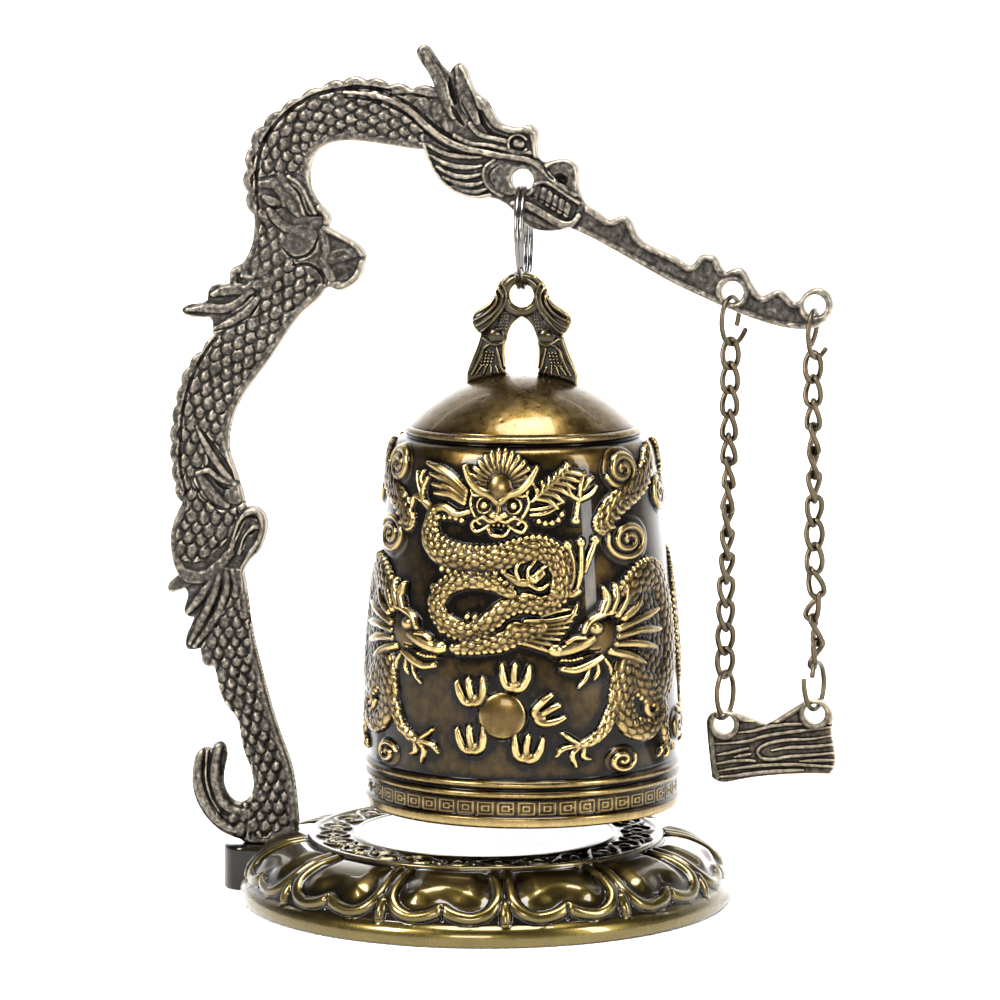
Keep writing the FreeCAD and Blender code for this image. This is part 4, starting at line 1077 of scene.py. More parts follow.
def draw_coils(s):
    """The central dragon's body, wound into an S, and its tail."""
    back = [(-5.8, 38.9), (-2.4, 39.6), (0.8, 40.2), (3.6, 41.4), (6, 42)]
    scaly(s, back, 2.6, 0.5, (0.5, 0.9, 1, 0.9, 0.7), hand=-1)
    low = [(9, 46.6), (6.4, 45.2), (3.6, 45.5), (1, 44.6), (-1.6, 42.4), (-4.6, 41.4),
           (-7.4, 42.6), (-8.6, 44.8), (-7.2, 47.2), (-4, 48.2), (-0.6, 47.9), (2, 46.6)]
    scaly(s, low, 2.5, 0.55, (0.8, 1, 1, 1, 1, 1, 1, 0.9, 0.7), hand=1)
    s.beads([(-4.6, 43.3), (-2.4, 43.2), (-0.6, 42.8), (0.9, 42.2)], 1.0, 0.6, 0.95, floor=0.16)
    arch = [(-10.4, 57.2), (-10.9, 55), (-10.2, 52.9), (-7.4, 51.5), (-3.8, 51.1), (0, 51.3),
            (3.4, 52.4), (6, 52.6), (8.1, 51.2), (8.9, 48.9), (8.2, 46.7)]
    scaly(s, arch, 3.5, 0.62, (0.55, 0.8, 1, 1, 1, 1, 1, 1, 1, 0.9, 0.7), hand=1)
    s.beads([(-8.7, 49.7), (-5.2, 49.2), (-1.4, 49.2), (1.4, 49.8)], 1.05, 0.62, 0.98, floor=0.2)
    # the forelimb curled inside the loop
    s.stroke([(1.2, 49.2), (3, 48.2), (4.8, 48.3), (6.2, 49.4)], 1.4, 0.6, (0.6, 0.8),
             floor=0.2)
    for line in ([(4.3, 48.2), (4.2, 49.8), (5.2, 51)], [(4.8, 48.4), (5.6, 49.6), (6.8, 50.4)],
                 [(4.4, 47.8), (5.8, 47.2), (7, 47.9)], [(3, 48.4), (2.6, 50),
                 (3.4, 51.2)]):
        s.stroke(line, 0.7, 0.62, (0.9, 0.5), floor=0.3)
    s.bump((5, 48.6), (0.8, 0.7), 0.66, floor=0.4)
    # hind leg at the right, three upright toes
    for line in ([(9.9, 46.9), (10.4, 48.6), (10.5, 50.8), (9.9, 53)],
                 [(11, 47), (11.6, 49.2), (11.8, 51.4), (11.9, 53.4)],
                 [(12.3, 49.4), (12.9, 51), (13.6, 52.4), (14.2, 53.6)]):
        s.stroke(line, 1.0, 0.6, (0.6, 0.8), floor=0.14)
        s.bump(line[-1], (0.72, 0.72), 0.66, floor=0.14)
    s.stroke([(8.6, 47.2), (10, 46.4), (11.4, 46.8)], 1.2, 0.55, (0.7, 0.7), floor=0.14)
    # tail fan
    roots, tips = np.array([(1.6, 40.2), (3.8, 42.9)]), np.array([(7.2, 38.6), (10.8, 43.6)])
    for share in np.linspace(0, 1, 7):
        a, b = ((1 - share) * ends[0] + share * ends[1] for ends in (roots, tips))
        bend = np.array([(b - a)[1], -(b - a)[0]]) * 0.1 * (share - 0.5)
        s.stroke([a, (a + b) / 2 + bend, b], 0.9, 0.55, (0.6, 0.6), floor=0.12)
    s.bump((2.6, 41.5), (1.6, 1.4), 0.6, floor=0.16)
    for line in ([(8.9, 42.3), (10.2, 43.5), (11, 44.9)], [(6, 43.5), (8, 44.2),
                 (10, 44.4)]):
        s.stroke(line, 0.8, 0.55, (0.6, 0.5), floor=0.12)
    for u, v in ((-9.3, 47), (-9.6, 45.2), (-9, 43.2), (-7.6, 41.2)):
        s.bump((u, v), (0.8, 0.6), 0.55, floor=0.12)


def draw_side(s, side):
    """One of the two dragons that face each other across the pearl."""
    def at(points):
        return [(side * u, v) for u, v in points]

    body = at([(19, 45.6), (22.4, 47.6), (25.6, 47.4), (27.8, 44.2), (28.4, 40.2), (28, 36.2),
               (26.4, 33.2), (23.6, 32), (20.6, 33.8), (18.6, 36), (17.4, 33.2), (17, 30.4),
               (18.6, 27.6), (22, 26.6), (25.2, 28.4)])
    s.scales(at([(21, 45), (23.5, 41), (24.2, 37.5), (22.6, 34)]), 7.5, 0.32, (1.3, 1.3),
             0.3, floor=0.1)
    scaly(s, body, 4.6, 0.6, (0.8, 1, 1, 1, 1, 1, 1, 1, 0.95, 0.9, 0.9, 0.8, 0.7, 0.6, 0.4),
          pitch=(1.25, 1.2), hand=side)
    s.stroke(spiral((side * 23, 29.6), (2, 1.9), 1.2, 0, 0.3, side), 1.0, 0.6, floor=0.14)
    # mane and horn, long ridges swept back
    for start, middle, end in (((14.6, 43.6), (15.4, 45.4), (15, 46.9)),
                               ((15.8, 43.6), (16.8, 45.4), (16.9, 47.2)),
                               ((17, 43.2), (18.4, 44.9), (19, 46.6)),
                               ((18, 42.6), (20, 43.6), (21.6, 45.2)),
                               ((17, 41.2), (21, 42.2), (25.4, 43)),
                               ((16.8, 40.2), (21, 40.6), (25.6, 40.2)),
                               ((16.4, 39.2), (20, 38.9), (24, 37.9)),
                               ((15.6, 38.2), (18.4, 37.4), (21.4, 36))):
        s.stroke(at([start, middle, end]), 1.3, 0.66, (0.9, 0.5), floor=0.42)
    # head: brow, eye, snout, jaw, beard
    s.bump((side * 14.4, 40.6), (3.4, 2.6), 0.62, -20 * side, floor=0.2, power=0.7)
    s.stroke(at([(16.6, 43.6), (14.6, 43.4), (12.6, 42.6), (11.7, 41.2)]), 1.0, 0.62, (0.6, 0.8),
             floor=0.45)
    s.bump((side * 13.4, 41.6), (1.1, 0.95), 0.8, floor=0.5)
    s.stroke(at([(13, 40.2), (11.2, 39.4), (9.4, 38.9), (7.9, 38.6)]), 1.7, 0.7, (0.9, 0.8),
             floor=0.25)
    s.bump((side * 7.9, 38.8), (1.1, 0.95), 0.75, floor=0.25)
    s.stroke(at([(9.4, 39.9), (10.4, 40.4), (11.8, 40.4)]), 0.7, 0.6, floor=0.4)
    s.groove(at([(7.6, 37.7), (9.6, 37.7), (12.2, 38.2), (14, 38.6)]), 0.6, 0.5)
    s.beads(at([(8.4, 37.5), (10, 37.4), (11.6, 37.7)]), 0.5, 0.4, 1.05, floor=0.3)
    s.stroke(at([(8.8, 36.2), (10.4, 36), (12.4, 36.6), (14.4, 37.6)]), 1.15, 0.6, (0.8, 0.7),
             floor=0.16)
    for start, end in (((12.4, 36.2), (10.9, 33.6)), ((13.6, 36.6), (13.2, 34.6)),
                       ((14.8, 37.2), (15.6, 35))):
        s.stroke(at([start, ((start[0] + end[0]) / 2 + 0.3, (start[1] + end[1]) / 2), end]),
                 0.6, 0.5, (0.8, 0.4), floor=0.12)
    # legs and claws below
    leg = at([(16.6, 31.6), (15.4, 29.4), (14, 27.2), (12.2, 26), (10.6, 25.6)])
    scaly(s, leg, 2.2, 0.5, (1, 1, 0.8, 0.7, 0.5), spine=False, pitch=(0.95, 0.95))
    for line in ([(10.8, 25.8), (9.6, 26.6), (8.6, 27.4)], [(10.8, 25.4), (9.9, 24.4), (10.4, 22.6)],
                 [(11.4, 25.2), (11.4, 24), (12.4, 23.6)], [(10.4, 25.6), (8.6, 25.2),
                 (7.8, 24.2)]):
        s.stroke(at(line), 0.85, 0.62, (0.9, 0.5), floor=0.12)
    hind = at([(24.6, 31), (25.6, 28.6), (25.8, 26), (26.6, 23.8)])
    scaly(s, hind, 2.4, 0.5, (1, 1, 0.8, 0.6), spine=False, pitch=(0.95, 0.95))
    for line in ([(26.4, 24.2), (25, 23.4), (24.4, 22.6)], [(26.6, 24), (26.8, 22.8),
                 (26.2, 22.2)], [(26.8, 24.4), (28.2, 23.8), (28.8, 22.8)]):
        s.stroke(at(line), 0.8, 0.6, (0.9, 0.5), floor=0.12)
    # clouds
    cloud(s, (side * 20, 62.9), (3.3, 2.5), 2.0, 200, side)
    cloud(s, (side * 20.2, 53.2), (4, 2.7), 2.1, 160, side, 1.1)
    cloud(s, (side * 17.2, 23), (2.2, 1.6), 1.4, 20, -side, 0.9)
    cloud(s, (side * 30.6, 58.6), (2.5, 2.2), 1.8, 90, side)
    cloud(s, (side * 30.8, 26), (2.4, 2), 1.6, 90, -side)
    # feathered plume between the clouds
    rib = at([(15.6, 55.8), (17.4, 57.9), (20.6, 59.4), (24.2, 61), (27.8, 63.8)])
    s.scales(rib, 3.3, 0.42, (1.25, 1.1), 0.35, floor=0.15)
    line = smooth(rib, 0.3)
    for share in np.linspace(0.06, 0.97, 11):
        spot = line[int(share * (len(line) - 1))]
        for way in (-1, 1):
            tip = spot + np.array([side * 1.6, way * 1.7 + 0.5])
            s.stroke([spot, spot + np.array([side * 0.5, way * 0.9]), tip], 1.0, 0.55,
                     (0.9, 0.5), floor=0.3)


def draw_keys(s):
    """A row of key squares round the band above the lip."""
    for k in range(KEY_COUNT):
        u = -HALF_TURN / 2 + (k + 0.5) * HALF_TURN / KEY_COUNT
        lines = [[(u + 0.42, KEY_MIDDLE), (u + 1, KEY_MIDDLE)]] if k % 3 == 0 else []
        for wide, tall in ((1, 0.78), (0.42, 0.32)):
            square = [(u + x * wide, KEY_MIDDLE + y * tall)
                      for x, y in ((-1, -1), (1, -1), (1, 1), (-1, 1))]
            lines += zip(square, square[1:] + square[:1])
        for line in lines:
            s.stroke(line, 0.24, 0.12, power=0.4)


def bell_relief():
    """One half turn of the bell's relief, repeated on the far side."""
    half_cols = int(HALF_TURN / CELL)
    over = 26                # columns past the half turn, to join its two ends
    us = (np.arange(-over, half_cols + over) + 0.5) * (HALF_TURN / half_cols) - HALF_TURN / 2
    vs = np.arange(LIP_LOW, BODY[0][1], CELL)
    s = Sheet(us, vs)
    draw_coils(s)
    for side in (-1, 1):
        draw_side(s, side)
    draw_face(s)
    s.bump(PEARL, (3.1, 3.3), 0.75, floor=0.1, power=0.38)
    s.groove(arc(PEARL, 3.3, 0, 360, 24), 0.35, 0.12, (1, 1))
    for centre, turn in (((-3.2, 33), 12), ((2.5, 35.2), -4), ((6.7, 30.4), -62),
                         ((-3.1, 26.4), 8), ((4.1, 25.4), -8)):
        claw(s, centre, 1.02, turn)
    draw_keys(s)
    core = s.h[:, over:-over].copy()
    core[:, :over] = np.maximum(core[:, :over], s.h[:, -over:])
    core[:, -over:] = np.maximum(core[:, -over:], s.h[:, :over])
    return vs, np.roll(np.tile(core, (1, 2)), -(half_cols // 2), axis=1)


vs, relief = bell_relief()
relief = relief[::-1]
profile, rows = bell_profile(vs)
heights = np.zeros((len(profile), relief.shape[1]))
heights[rows] = relief
for _ in range(DOME_PITS):
    row, column = rng.integers(24, DOME_ROWS - 8), rng.integers(0, relief.shape[1])
    tall, wide = rng.uniform(0.9, 1.8), rng.uniform(0.9, 2.4)
    near = np.arange(-PIT_REACH, PIT_REACH + 1)
    pit = np.exp(-(near[:, None] / tall) ** 2 - (near[None, :] / wide) ** 2)
    columns = (column + near) % relief.shape[1]
    heights[np.ix_(row + near, columns)] -= rng.uniform(0.015, 0.05) * pit
worn = np.zeros(len(profile))
worn[:DOME_ROWS] = DOME_WORN
worn[rows] = np.where(np.abs(vs[::-1] - 17) < 1.1, BAND_WORN, 0)
bell = turned("bell_casting", profile, heights, BELL_X, worn, high=0.07, fine=2.1)
settle(bell, BELL_METAL, "bell", "bell_brass", "bell_shell")


# ---------------------------------------------------------------- base
BASE_X = -2.4
BELT_R, RING_R = 30.0, 21.7  # the belt and the scroll ring are drawn at these radii
PETALS = 12
BELT = [(33.95, 2.9), (33.3, 4.6), (31.6, 6.3), (28.8, 7.7), (25.4, 8.4)]
COLUMNS = 1080


def draw_petal(s):
    """One lotus petal: a bulging panel in a raised heart-shaped rim."""
    edge = math.pi * BELT_R / PETALS
    half = [(6.8, 11.4), (6.8, 9), (7, 6.4), (6.9, 3.8), (5.8, 1.9), (4, 1), (2.1, 1.2),
            (0.8, 1.8), (0, 2.3)]
    panel = [(5.6, 11.6), (5.6, 8.6), (5.75, 6), (5.4, 3.7), (4, 2.5), (1.9, 2.7), (0, 3.6)]
    outline = panel + [(-u, v) for u, v in panel[-2::-1]]
    s.patch(outline, 0.7, 2.6)
    s.stroke(half + [(-u, v) for u, v in half[-2::-1]], 1.7, 0.68, (1, 1), power=0.6)
    for side in (-1, 1):
        s.stroke([(side * edge, 10.5), (side * edge, 6), (side * edge, 3.4)], 0.55, 0.25,
                 (1, 0.5), power=0.8)
        s.stroke([(side * edge, 3.9), (side * edge, 2.2), (side * edge, 0.5)], 1.7, 0.75,
                 (0.2, 0.8), power=0.8)
    s.groove([(0, 2.5), (0, 1.5), (0, 0.6)], 0.6, 0.4, (0.9, 0.4))


def draw_scroll(s):
    """One repeat of the engraved ring: two scrolls and a bud in sunk ground."""
    edge = math.pi * RING_R / PETALS
    s.h[:] = -0.32
    waves = np.linspace(-edge - 1.5, edge + 1.5, 26)
    for hand in (-1, 1):
        sway = hand * 2.2 * np.cos(waves / edge * math.pi)
        s.stroke(np.stack([waves, sway], 1), 0.5, 0.34, (1, 1), floor=-0.3, power=0.4)
        s.stroke(spiral((hand * 2.5, -0.3 * hand), (1.3, 1.2), 1.2, 90, 0.25, hand), 0.42, 0.3,
                 floor=-0.3, power=0.4)
        s.bump((hand * edge, 0), (0.55, 0.9), 0.34, floor=-0.3, power=0.4)
    s.bump((0, 0), (0.7, 1.1), 0.34, floor=-0.3, power=0.4)
    for v in (-3.1, 3.1):
        s.stroke([(-edge - 1, v), (edge + 1, v)], 0.6, 0.34, (1, 1), floor=-0.3, power=0.3)


def repeated(draw, nominal, vs, count):
    """Relief rows round the full turn from one repeat centred on the front."""
    wide = COLUMNS // count
    step = 2 * math.pi * nominal / COLUMNS
    over = 12
    us = (np.arange(-over, wide + over) + 0.5 - wide / 2) * step
    s = Sheet(us, vs)
    draw(s)
    core = s.h[:, over:-over]
    full = np.tile(core, (1, count))
    return np.roll(full, -(wide // 2), axis=1)


def base_rows():
    rows = [(r, 9.22 - 0.48 * (1 - (r / 18) ** 2)) for r in np.linspace(0.05, 17.9, 26)]
    rows += [(18.1, 9.2), (18.25, 9.3), (18.35, 9.34), (18.5, 9.34)]
    ring_at = len(rows)
    ring_v = np.arange(-3.25, 3.25, CELL)
    rows += [(RING_R + v, 9.3) for v in ring_v]
    ring = slice(ring_at, len(rows))
    rows += [(25.05, 9.3), (25.2, 9.26), (25.3, 9.15), (25.32, 8.9), (25.32, 8.6)]
    line = smooth(BELT, 0.05)[::-1]
    run = np.concatenate([[0], np.cumsum(np.hypot(*np.diff(line, axis=0).T))])
    belt_at = len(rows)
    belt_v = np.arange(0, run[-1], CELL)
    rows += [(np.interp(v, run, line[:, 0]), np.interp(v, run, line[:, 1])) for v in belt_v]
    belt = slice(belt_at, len(rows))
    rows += [(34.3, 2.78), (34.6, 2.5), (34.83, 2.1), (34.96, 1.6), (35, 1.1), (34.97, 0.6),
             (34.87, 0.28), (34.7, 0.07), (34.4, 0), (33.7, 0), (33.2, 0), (33.1, 0.1)]
    inside = [(33.1, 2), (32, 3.1), (29.7, 5), (27, 6.2), (24.9, 6.6), (24.9, 7.4),
              (20, 7.4), (10, 7.4), (0.05, 7.4)]
    for a, b in zip(inside, inside[1:]):
        for t in (0.0, 0.33, 0.66):
            rows.append((a[0] + (b[0] - a[0]) * t, a[1] + (b[1] - a[1]) * t))
    rows.append(inside[-1])
    return rows, ring, ring_v, belt, run[-1] - belt_v


rows_of_base, ring_rows, ring_v, belt_rows, belt_v = base_rows()
base_heights = np.zeros((len(rows_of_base), COLUMNS))
base_heights[ring_rows] = repeated(draw_scroll, RING_R, ring_v, PETALS)
base_heights[belt_rows] = repeated(draw_petal, BELT_R, belt_v[::-1], PETALS)[::-1]
base_piece = turned("base_casting", rows_of_base, base_heights, BASE_X)
settle(base_piece, BASE_METAL, "stand", "base_brass", "lotus_base")


def stacked(name, rings, shade=0.0):
    """A closed skin through rings of points, capped at both ends."""
    wide = len(rings[0])
    verts = [p for ring in rings for p in ring]
    index = np.arange(len(verts)).reshape(len(rings), wide)
    quads = np.stack([index[:-1], np.roll(index, -1, 1)[:-1], np.roll(index, -1, 1)[1:],
                      index[1:]], -1).reshape(-1, 4)
    caps = []
    for end, flip in ((0, True), (len(rings) - 1, False)):
        centre = np.mean(rings[end], 0)
        ring = index[end]
        fan = np.stack([ring, np.roll(ring, -1), np.full(wide, len(verts))], 1)
        verts.append(centre)
        caps.append(fan[:, ::-1] if flip else fan)
    return new_piece(name, np.array(verts), [quads] + caps,
                     attributes={"hollow": np.full(len(verts), shade)})


def ring_of(centre, radius, z, count=48):
    a = np.linspace(0, 2 * math.pi, count, endpoint=False)
    return np.stack([centre[0] + radius * np.cos(a), centre[1] + radius * np.sin(a),
                     np.full(count, z)], 1)


def lug_ring(half_width, z):
    """The lug seen from above: a round outer end and a square inner one."""
    outer = BASE_X - 38.2 + 3.5
    a = np.radians(np.linspace(90, 270, 25))
    end = [(outer + half_width * math.cos(t), half_width * math.sin(t)) for t in a]
    inner = [(BASE_X - 27.5, y) for y in np.linspace(-half_width, half_width, 9)]
    middle = [(outer + (BASE_X - 27.5 - outer) * t, -half_width) for t in np.linspace(0.1, 0.9, 9)]
    back = [(x, -y) for x, y in middle[::-1]]
    return np.array([(x, y, z) for x, y in end + middle + inner + back])


lug_levels = [(3, 0), (3.35, 0.03), (3.47, 0.2), (3.5, 0.6), (3.5, 2.4), (3.5, 4.4),
              (3.5, 5.8), (3.44, 6.12), (3.27, 6.32), (3, 6.4), (1.4, 6.4)]
lug = stacked("base_lug", [lug_ring(half, z) for half, z in lug_levels], -0.22)
settle(lug, BASE_METAL, "stand", "base_brass", "lotus_base")

boss_levels = [(1.5, 3.1), (2.1, 3.1), (2.35, 3.2), (2.4, 3.4), (2.4, 5), (2.4, 6.3),
               (1.5, 6.38)]
boss = stacked("dragon_boss", [ring_of((-35, 0), r, z) for r, z in boss_levels])
settle(boss, DRAGON_METAL, "stand", "stand_bronze", "dragon_stand")


# ---------------------------------------------------------------- crown
CROWN_Z = 86.04


def draw_crown(s, _depth):
    s.h[:] = 1.55 + 0.02 * wobble(s, 1.0, 11)
    for side in (-1, 1):
        def at(points, side=side):
            return [(BELL_X + side * (BELL_X - u), v) for u, v in points]
        # legs with beaded panels
        s.patch(at([(-2.4, 80.4), (-3.4, 77.6), (-5.2, 73.6), (1.4, 73.6), (0.8, 77),
                    (1.4, 80.2)]), 1.38, 0.4)
        for row in range(5):
            for column in range(4):
                s.bump(at([(-2.4 + 0.48 * column - 0.1 * row, 78 - 0.45 * row)])[0],
                       (0.2, 0.18), 0.3, floor=1.5)
        s.stroke(at([(0.1, 79.2), (-1.4, 79.1), (-2.4, 78.4), (-2.9, 77), (-3.6, 75.6),
                     (-4, 74.9)]), 0.55, 0.42, (0.7, 0.7), floor=1.5)
        s.stroke(at([(-0.5, 78.6), (-0.1, 77), (0.2, 75.8), (0.6, 75.2)]), 0.5, 0.4,
                 (0.7, 0.6), floor=1.5)
        s.stroke(at([(0.5, 79.6), (0.5, 77.6), (0.7, 76)]), 0.45, 0.4, floor=1.5)
        for start, end in (((-2.6, 76.1), (-3.4, 74.9)), ((-2, 76), (-2.4, 74.9)),
                           ((-1.3, 75.9), (-1.3, 74.9)), ((-0.6, 76), (-0.2, 75))):
            s.stroke(at([start, end]), 0.4, 0.36, (0.9, 0.6), floor=1.5)
        # knob above the leg, and the ladder beside the arch
        s.bump(at([(-0.6, 80.3)])[0], (1.35, 1.2), 0.6, floor=1.42)
        s.stroke(at([(-2.4, 80), (-1.6, 79.4), (-0.6, 79), (0.6, 79.4)]), 0.5, 0.4, floor=1.5)
        for row in range(7):
            for column in range(3):
                s.bump(at([(0.35 + 0.42 * column - 0.06 * row, 84 - 0.45 * row)])[0],
                       (0.18, 0.16), 0.28, floor=1.5)
        # scroll lobe with lengthwise ribs
        s.patch(at([(0.6, 88), (-0.9, 87.2), (-1.2, 85), (-4.6, 83.4), (-4.6, 81),
                    (-2.6, 79.9), (-0.4, 82), (1, 84.6), (1.3, 86.2)]), 1.42, 0.35)
        s.bump(at([(-2.5, 82.2)])[0], (2.6, 1.7), 0.62, 42 * -side, floor=1.36)
        for line, width in (
                ([(0.3, 87.7), (0.9, 86.3), (0.6, 84.7), (-0.7, 82.8), (-2.1, 81.3),
                  (-3.1, 80.7)], 0.6),
                ([(-0.3, 87.2), (0.3, 86), (0, 84.6), (-1.2, 83.1), (-2.6, 82),
                  (-3.5, 81.6)], 0.6),
                ([(-0.7, 86.6), (-0.5, 85.2), (-1.5, 83.8), (-2.8, 82.9), (-3.7, 82.5)], 0.6),
                ([(-0.9, 85.6), (-1.6, 84.7), (-2.8, 83.9), (-3.7, 83.3)], 0.55)):
            s.stroke(at(line), width, 0.42, (0.6, 0.6), floor=1.78)
        s.stroke(at([(-0.8, 87.2), (0.1, 87.8), (1, 88.6)]), 0.8, 0.45, floor=1.5)
    s.collar((BELL_X, CROWN_Z), 2.3, 0.75, 1.6, 0.4, 3.2)


crown = casting("crown_casting", "bell_crown", 2.0, 0.075, draw_crown, rim=0.55, shade=0.3)
settle(crown, CROWN_METAL, "bell", "crown_brass", "bell_crown")


# ---------------------------------------------------------------- striker
GRAIN = [[(33.9, 24.8), (36, 25.1), (38, 25.7), (40, 26.1), (42.9, 26.3)],
         [(30.5, 23.1), (33, 23.3), (35.5, 23.7), (37.5, 24.4), (40, 24.9), (43, 25.4),
          (47, 26)],
         [(47.2, 24.8), (44, 24.2), (41, 24), (38.8, 23.6), (37.2, 22.9), (36.6, 22.1),
          (37.2, 21.3), (38.6, 21.1), (41, 21.6), (44, 21.9), (47.3, 22.3)],
         [(38.6, 22.4), (41, 22.9), (44, 23.1), (47.2, 23.5)],
         [(30.8, 21.5), (33, 22), (35.3, 22.6)],
         [(33.4, 21.3), (35.6, 21.8)],
         [(30.6, 20.2), (33, 20.7), (35, 20.9), (36.3, 20.8)],
         [(31, 19.2), (33, 19.6), (35.5, 20), (38, 20.3), (42, 20.5), (47.3, 20.4)],
         [(30.4, 18.3), (33, 18.6), (36, 19.1), (39, 19.5), (43, 19.8)],
         [(42.6, 21), (45, 21.2), (47.3, 21.3)]]
STRIKER_HOLES = ((31.8, 25.91), (44.6, 27.76))


def draw_striker(s, depth):
    """Wood grain flowing round a knot, under two eyes."""
    s.h[:] = 0.84 + 0.02 * wobble(s, 0.8, 21)
    for line in GRAIN:
        s.stroke(line, 0.66, 0.44, (0.5, 0.7), floor=0.8, power=0.6)
    s.stroke([(29.8, 26.2), (30, 23.4), (30.3, 20.4), (30.8, 18.4)], 1.0, 0.35, (1, 1),
             floor=0.84)
    edge = 0.36 * np.clip(1 - ((depth - 0.42) / 0.4) ** 2, 0, 1) ** 0.6
    s.h = np.maximum(s.h, np.where(s.v > 26.4, 0.86 + edge, 0))
    for centre in STRIKER_HOLES:
        away = np.hypot(s.u - centre[0], s.v - centre[1])
        ridge = np.sqrt(np.clip(1 - ((away - 1.8) / 0.5) ** 2, 0, 1))
        s.h = np.where(away < 2.2, 0.9 + 0.4 * ridge, s.h)


striker = casting("striker_casting", "striker_plate", 1.2, 0.07, draw_striker, rim=0.4, shade=0.3)
settle(striker, STRIKER_METAL, "striker", "striker_brass", "striker_plate")


# ---------------------------------------------------------------- chains and rings
LINK_WIRE = 0.41
LINK_BEND, LINK_STRAIGHT = 1.1, 0.94
LINK_TWIST = math.radians(-88)
COUNTS = {"left": 14, "right": 13}
TURN_A_LINK = {"left": -12.5, "right": -23.5}     # degrees from one link to the next
LOOSE_LINKS = {"right": {9: -16, 10: 24, 11: -10, 12: 16}}    # degrees out of line


def link_line(mean_turn, count=60):
    """Middle line of a curb link: a long oval, twisted about its length."""
    line = []
    for t in np.linspace(0, 2 * math.pi, count, endpoint=False):
        x = LINK_BEND * math.cos(t)
        z = LINK_BEND * math.sin(t) + LINK_STRAIGHT * np.clip(math.sin(t) * 1.6, -1, 1)
        turn = mean_turn + LINK_TWIST * z / (2 * (LINK_BEND + LINK_STRAIGHT))
        line.append((x * math.cos(turn), x * math.sin(turn), z))
    return np.array(line)


def middle_of(node):
    low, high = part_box(node)
    return (np.array(low) + np.array(high)) / 2 / MM


def build_chain(side):
    names = ["%s_link_%02d" % (side, k + 1) for k in range(COUNTS[side])]
    ends = middle_of(names[0]), middle_of(names[-1])
    along = (ends[0] - ends[1]) / np.linalg.norm(ends[0] - ends[1])
    lean = Matrix.Rotation(math.atan2(along[0], along[2]), 3, "Y")
    for k, name in enumerate(names):
        turn = math.radians(TURN_A_LINK[side] * k + rng.uniform(-7, 7))
        loose = math.radians(LOOSE_LINKS.get(side, {}).get(k, rng.uniform(-3, 3)))
        spin = lean @ Matrix.Rotation(loose, 3, "Y")
        line = link_line(turn) @ np.array(spin).T + middle_of(name)
        piece = sweep("curb_" + name, line, LINK_WIRE, closed=True, sides=12)
        settle(piece, CHAIN_METAL, side + "_chain", "chain_bronze", name)


for side in COUNTS:
    build_chain(side)


JUMP_R, JUMP_WIRE = 3.3, 0.37
SPLIT_R, SPLIT_WIRE = 7.15, 0.365
SPLIT_YAW = math.radians(4)


def jump_ring_line(centre, yaw, gap_at, offset):
    """A ring bent from wire, its cut ends pushed a little past each other."""
    t = np.linspace(0, 1, 90)
    angle = math.radians(gap_at + 4) + t * math.radians(352)
    x = offset * (t - 0.5) ** 3 * 4
    y, z = JUMP_R * np.cos(angle), JUMP_R * np.sin(angle)
    c, s = math.cos(yaw), math.sin(yaw)
    return np.stack([centre[0] + x * c - y * s, centre[1] + x * s + y * c, centre[2] + z], 1)


RINGS = (("left_top_jump_ring", "left_hook", -18, 340, 1.5),
         ("right_top_jump_ring", "right_hook", -8, 322, 2.2),
         ("left_bottom_jump_ring", "left_chain", -15, 228, 0.9),
         ("right_bottom_jump_ring", "right_chain", -15, 152, 1.2))
for name, body, yaw, gap_at, offset in RINGS:
    low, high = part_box(name)
    centre = (middle_of(name)[0], 0.0, high[2] / MM - JUMP_R - JUMP_WIRE)
    line = jump_ring_line(centre, math.radians(yaw), gap_at, offset)
    piece = sweep("wire_" + name, line, JUMP_WIRE)
    settle(piece, CHAIN_METAL, body, "chain_bronze", name)


def split_ring_line():
    """Two coils of wire lying side by side, with a step where they cross."""
    centre = middle_of("split_ring")
    line = []
    for t in np.linspace(0, 1, 260):
        angle = math.radians(-140) + t * math.radians(712)
        x, y = 0.375 * np.clip((t - 0.5) * 11, -1, 1), SPLIT_R * math.cos(angle)
        line.append((centre[0] + x * math.cos(SPLIT_YAW) - y * math.sin(SPLIT_YAW),
                     centre[1] + x * math.sin(SPLIT_YAW) + y * math.cos(SPLIT_YAW),
                     centre[2] + SPLIT_R * math.sin(angle)))
    return line


split = sweep("split_ring_wire", split_ring_line(), SPLIT_WIRE, sides=12)
settle(split, NICKEL, "suspension_ring", "ring_nickel", "split_ring")

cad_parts["stand_screw"].data.materials.clear()
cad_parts["stand_screw"].data.materials.append(STEEL)


# ---------------------------------------------------------------- stage
def area_light(name, place, aim, size, power):
    data = bpy.data.lights.new(name, "AREA")
    data.shape = "RECTANGLE"
    data.size, data.size_y = size
    data.energy = power
    lamp = bpy.data.objects.new(name, data)
    lamp.location = place
    way = Vector(aim) - Vector(place)
    lamp.rotation_euler = way.to_track_quat("-Z", "Y").to_euler()
    bpy.context.scene.collection.objects.link(lamp)


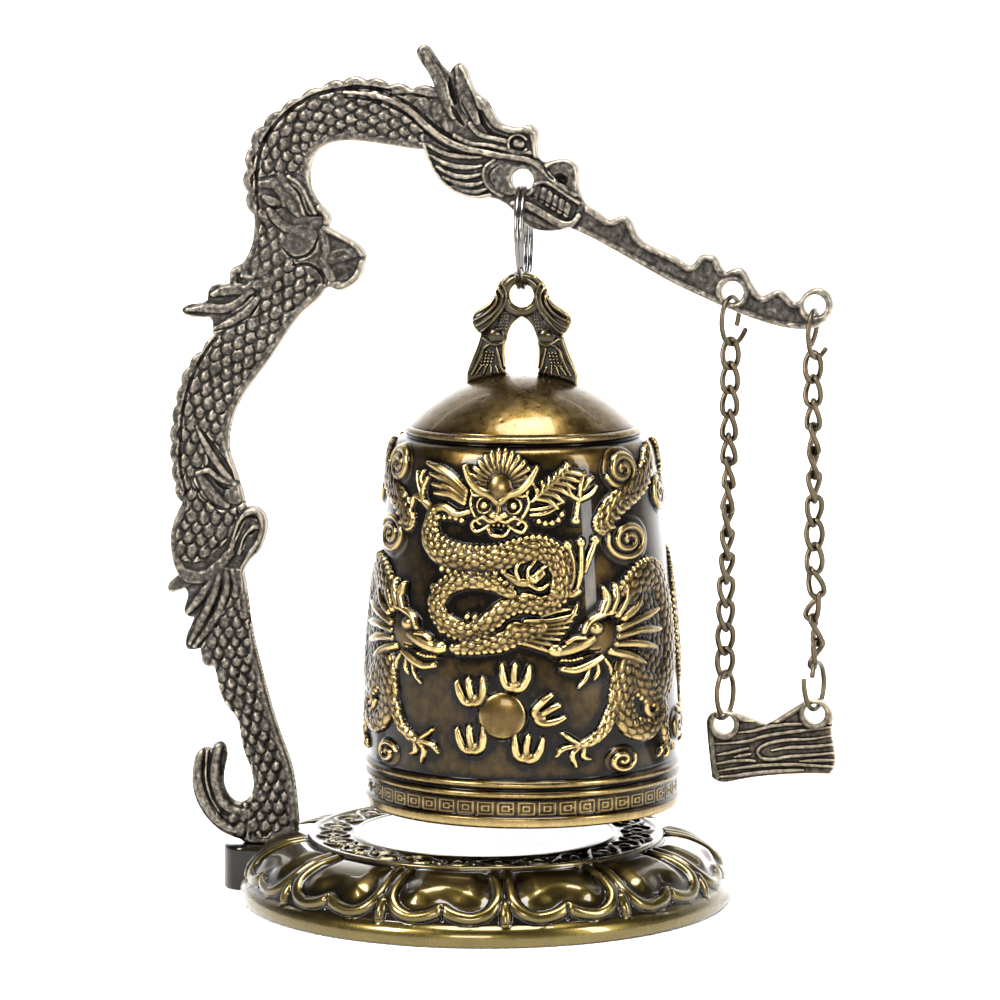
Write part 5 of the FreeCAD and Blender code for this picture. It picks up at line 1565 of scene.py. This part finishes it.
def stage_floor():
    """A floor that curves up behind the object."""
    near, far, radius, side, top = -2.5, 0.9, 0.5, 3, 2.5
    section = [(near, 0), (far, 0)]
    for angle in np.radians(np.linspace(5, 90, 18)):
        section.append((far + radius * math.sin(angle), radius * (1 - math.cos(angle))))
    section.append((far + radius, top))
    verts = [(x / MM, y / MM, z / MM) for x in (-side, side) for y, z in section]
    n = len(section)
    faces = np.array([(k, k + n, k + n + 1, k + 1) for k in range(n - 1)])
    floor = new_piece("floor", np.array(verts), [faces])
    material = bpy.data.materials.new("pale_paper")
    material.use_nodes = True
    shader = material.node_tree.nodes["Principled BSDF"]
    shader.inputs["Base Color"].default_value = (0.86, 0.86, 0.86, 1)
    shader.inputs["Roughness"].default_value = 0.9
    # far from the lamps the paper glows a little, so that it stays pale to the horizon
    tree = material.node_tree
    away = node_of(tree, "ShaderNodeVectorMath", operation="LENGTH")
    tree.links.new(tree.nodes.new("ShaderNodeTexCoord").outputs["Object"], away.inputs[0])
    glow = ramp(tree, away.outputs["Value"], [(0.4, (0, 0, 0)), (0.95, (0.5, 0.5, 0.51))])
    tree.links.new(glow, shader.inputs["Emission Color"])
    shader.inputs["Emission Strength"].default_value = 1.0
    floor.data.materials.append(material)


stage_floor()
area_light("key_left", (-0.45, -0.55, 0.5), (0, 0, 0.06), (0.22, 0.32), 11)
area_light("key_right", (0.6, -0.3, 0.3), (0, 0, 0.06), (0.12, 0.5), 5)
area_light("top", (0.05, -0.1, 0.8), (0, 0, 0), (0.45, 0.3), 11)
area_light("front_low", (0.08, -1.4, 0.34), (0, 0, 0.06), (0.46, 0.25), 8)
area_light("back_wash", (0, 0.5, 0.7), (0, 1.2, 0.1), (1.6, 0.5), 26)

world = bpy.data.worlds.new("studio")
bpy.context.scene.world = world
world.use_nodes = True
sky = world.node_tree
direction = sky.nodes.new("ShaderNodeTexCoord").outputs["Generated"]
split_sky = sky.nodes.new("ShaderNodeSeparateXYZ")
sky.links.new(direction, split_sky.inputs[0])
room = ramp(sky, split_sky.outputs["Z"], [(0, (0.8, 0.81, 0.83)), (0.16, (0.8, 0.81, 0.83)),
                                          (0.4, (0.12, 0.12, 0.13)), (1, (0.1, 0.1, 0.11))])
sky.links.new(room, sky.nodes["Background"].inputs["Color"])
sky.nodes["Background"].inputs["Strength"].default_value = 0.65

camera_data = bpy.data.cameras.new("camera")
camera = bpy.data.objects.new("camera", camera_data)
bpy.context.scene.collection.objects.link(camera)
camera_data.lens = 162
camera_data.sensor_width = 36
camera_data.clip_end = 20
AZIMUTH, TILT, DISTANCE = math.radians(10), math.radians(7.18), 0.6359
TARGET = Vector((-0.00037, 0.00036, 0.05685))
look = Vector((-math.sin(AZIMUTH) * math.cos(TILT), math.cos(AZIMUTH) * math.cos(TILT),
               -math.sin(TILT)))
camera.location = TARGET - look * DISTANCE
camera.rotation_euler = look.to_track_quat("-Z", "Y").to_euler()
bpy.context.scene.camera = camera
bpy.context.scene.view_settings.view_transform = "Standard"
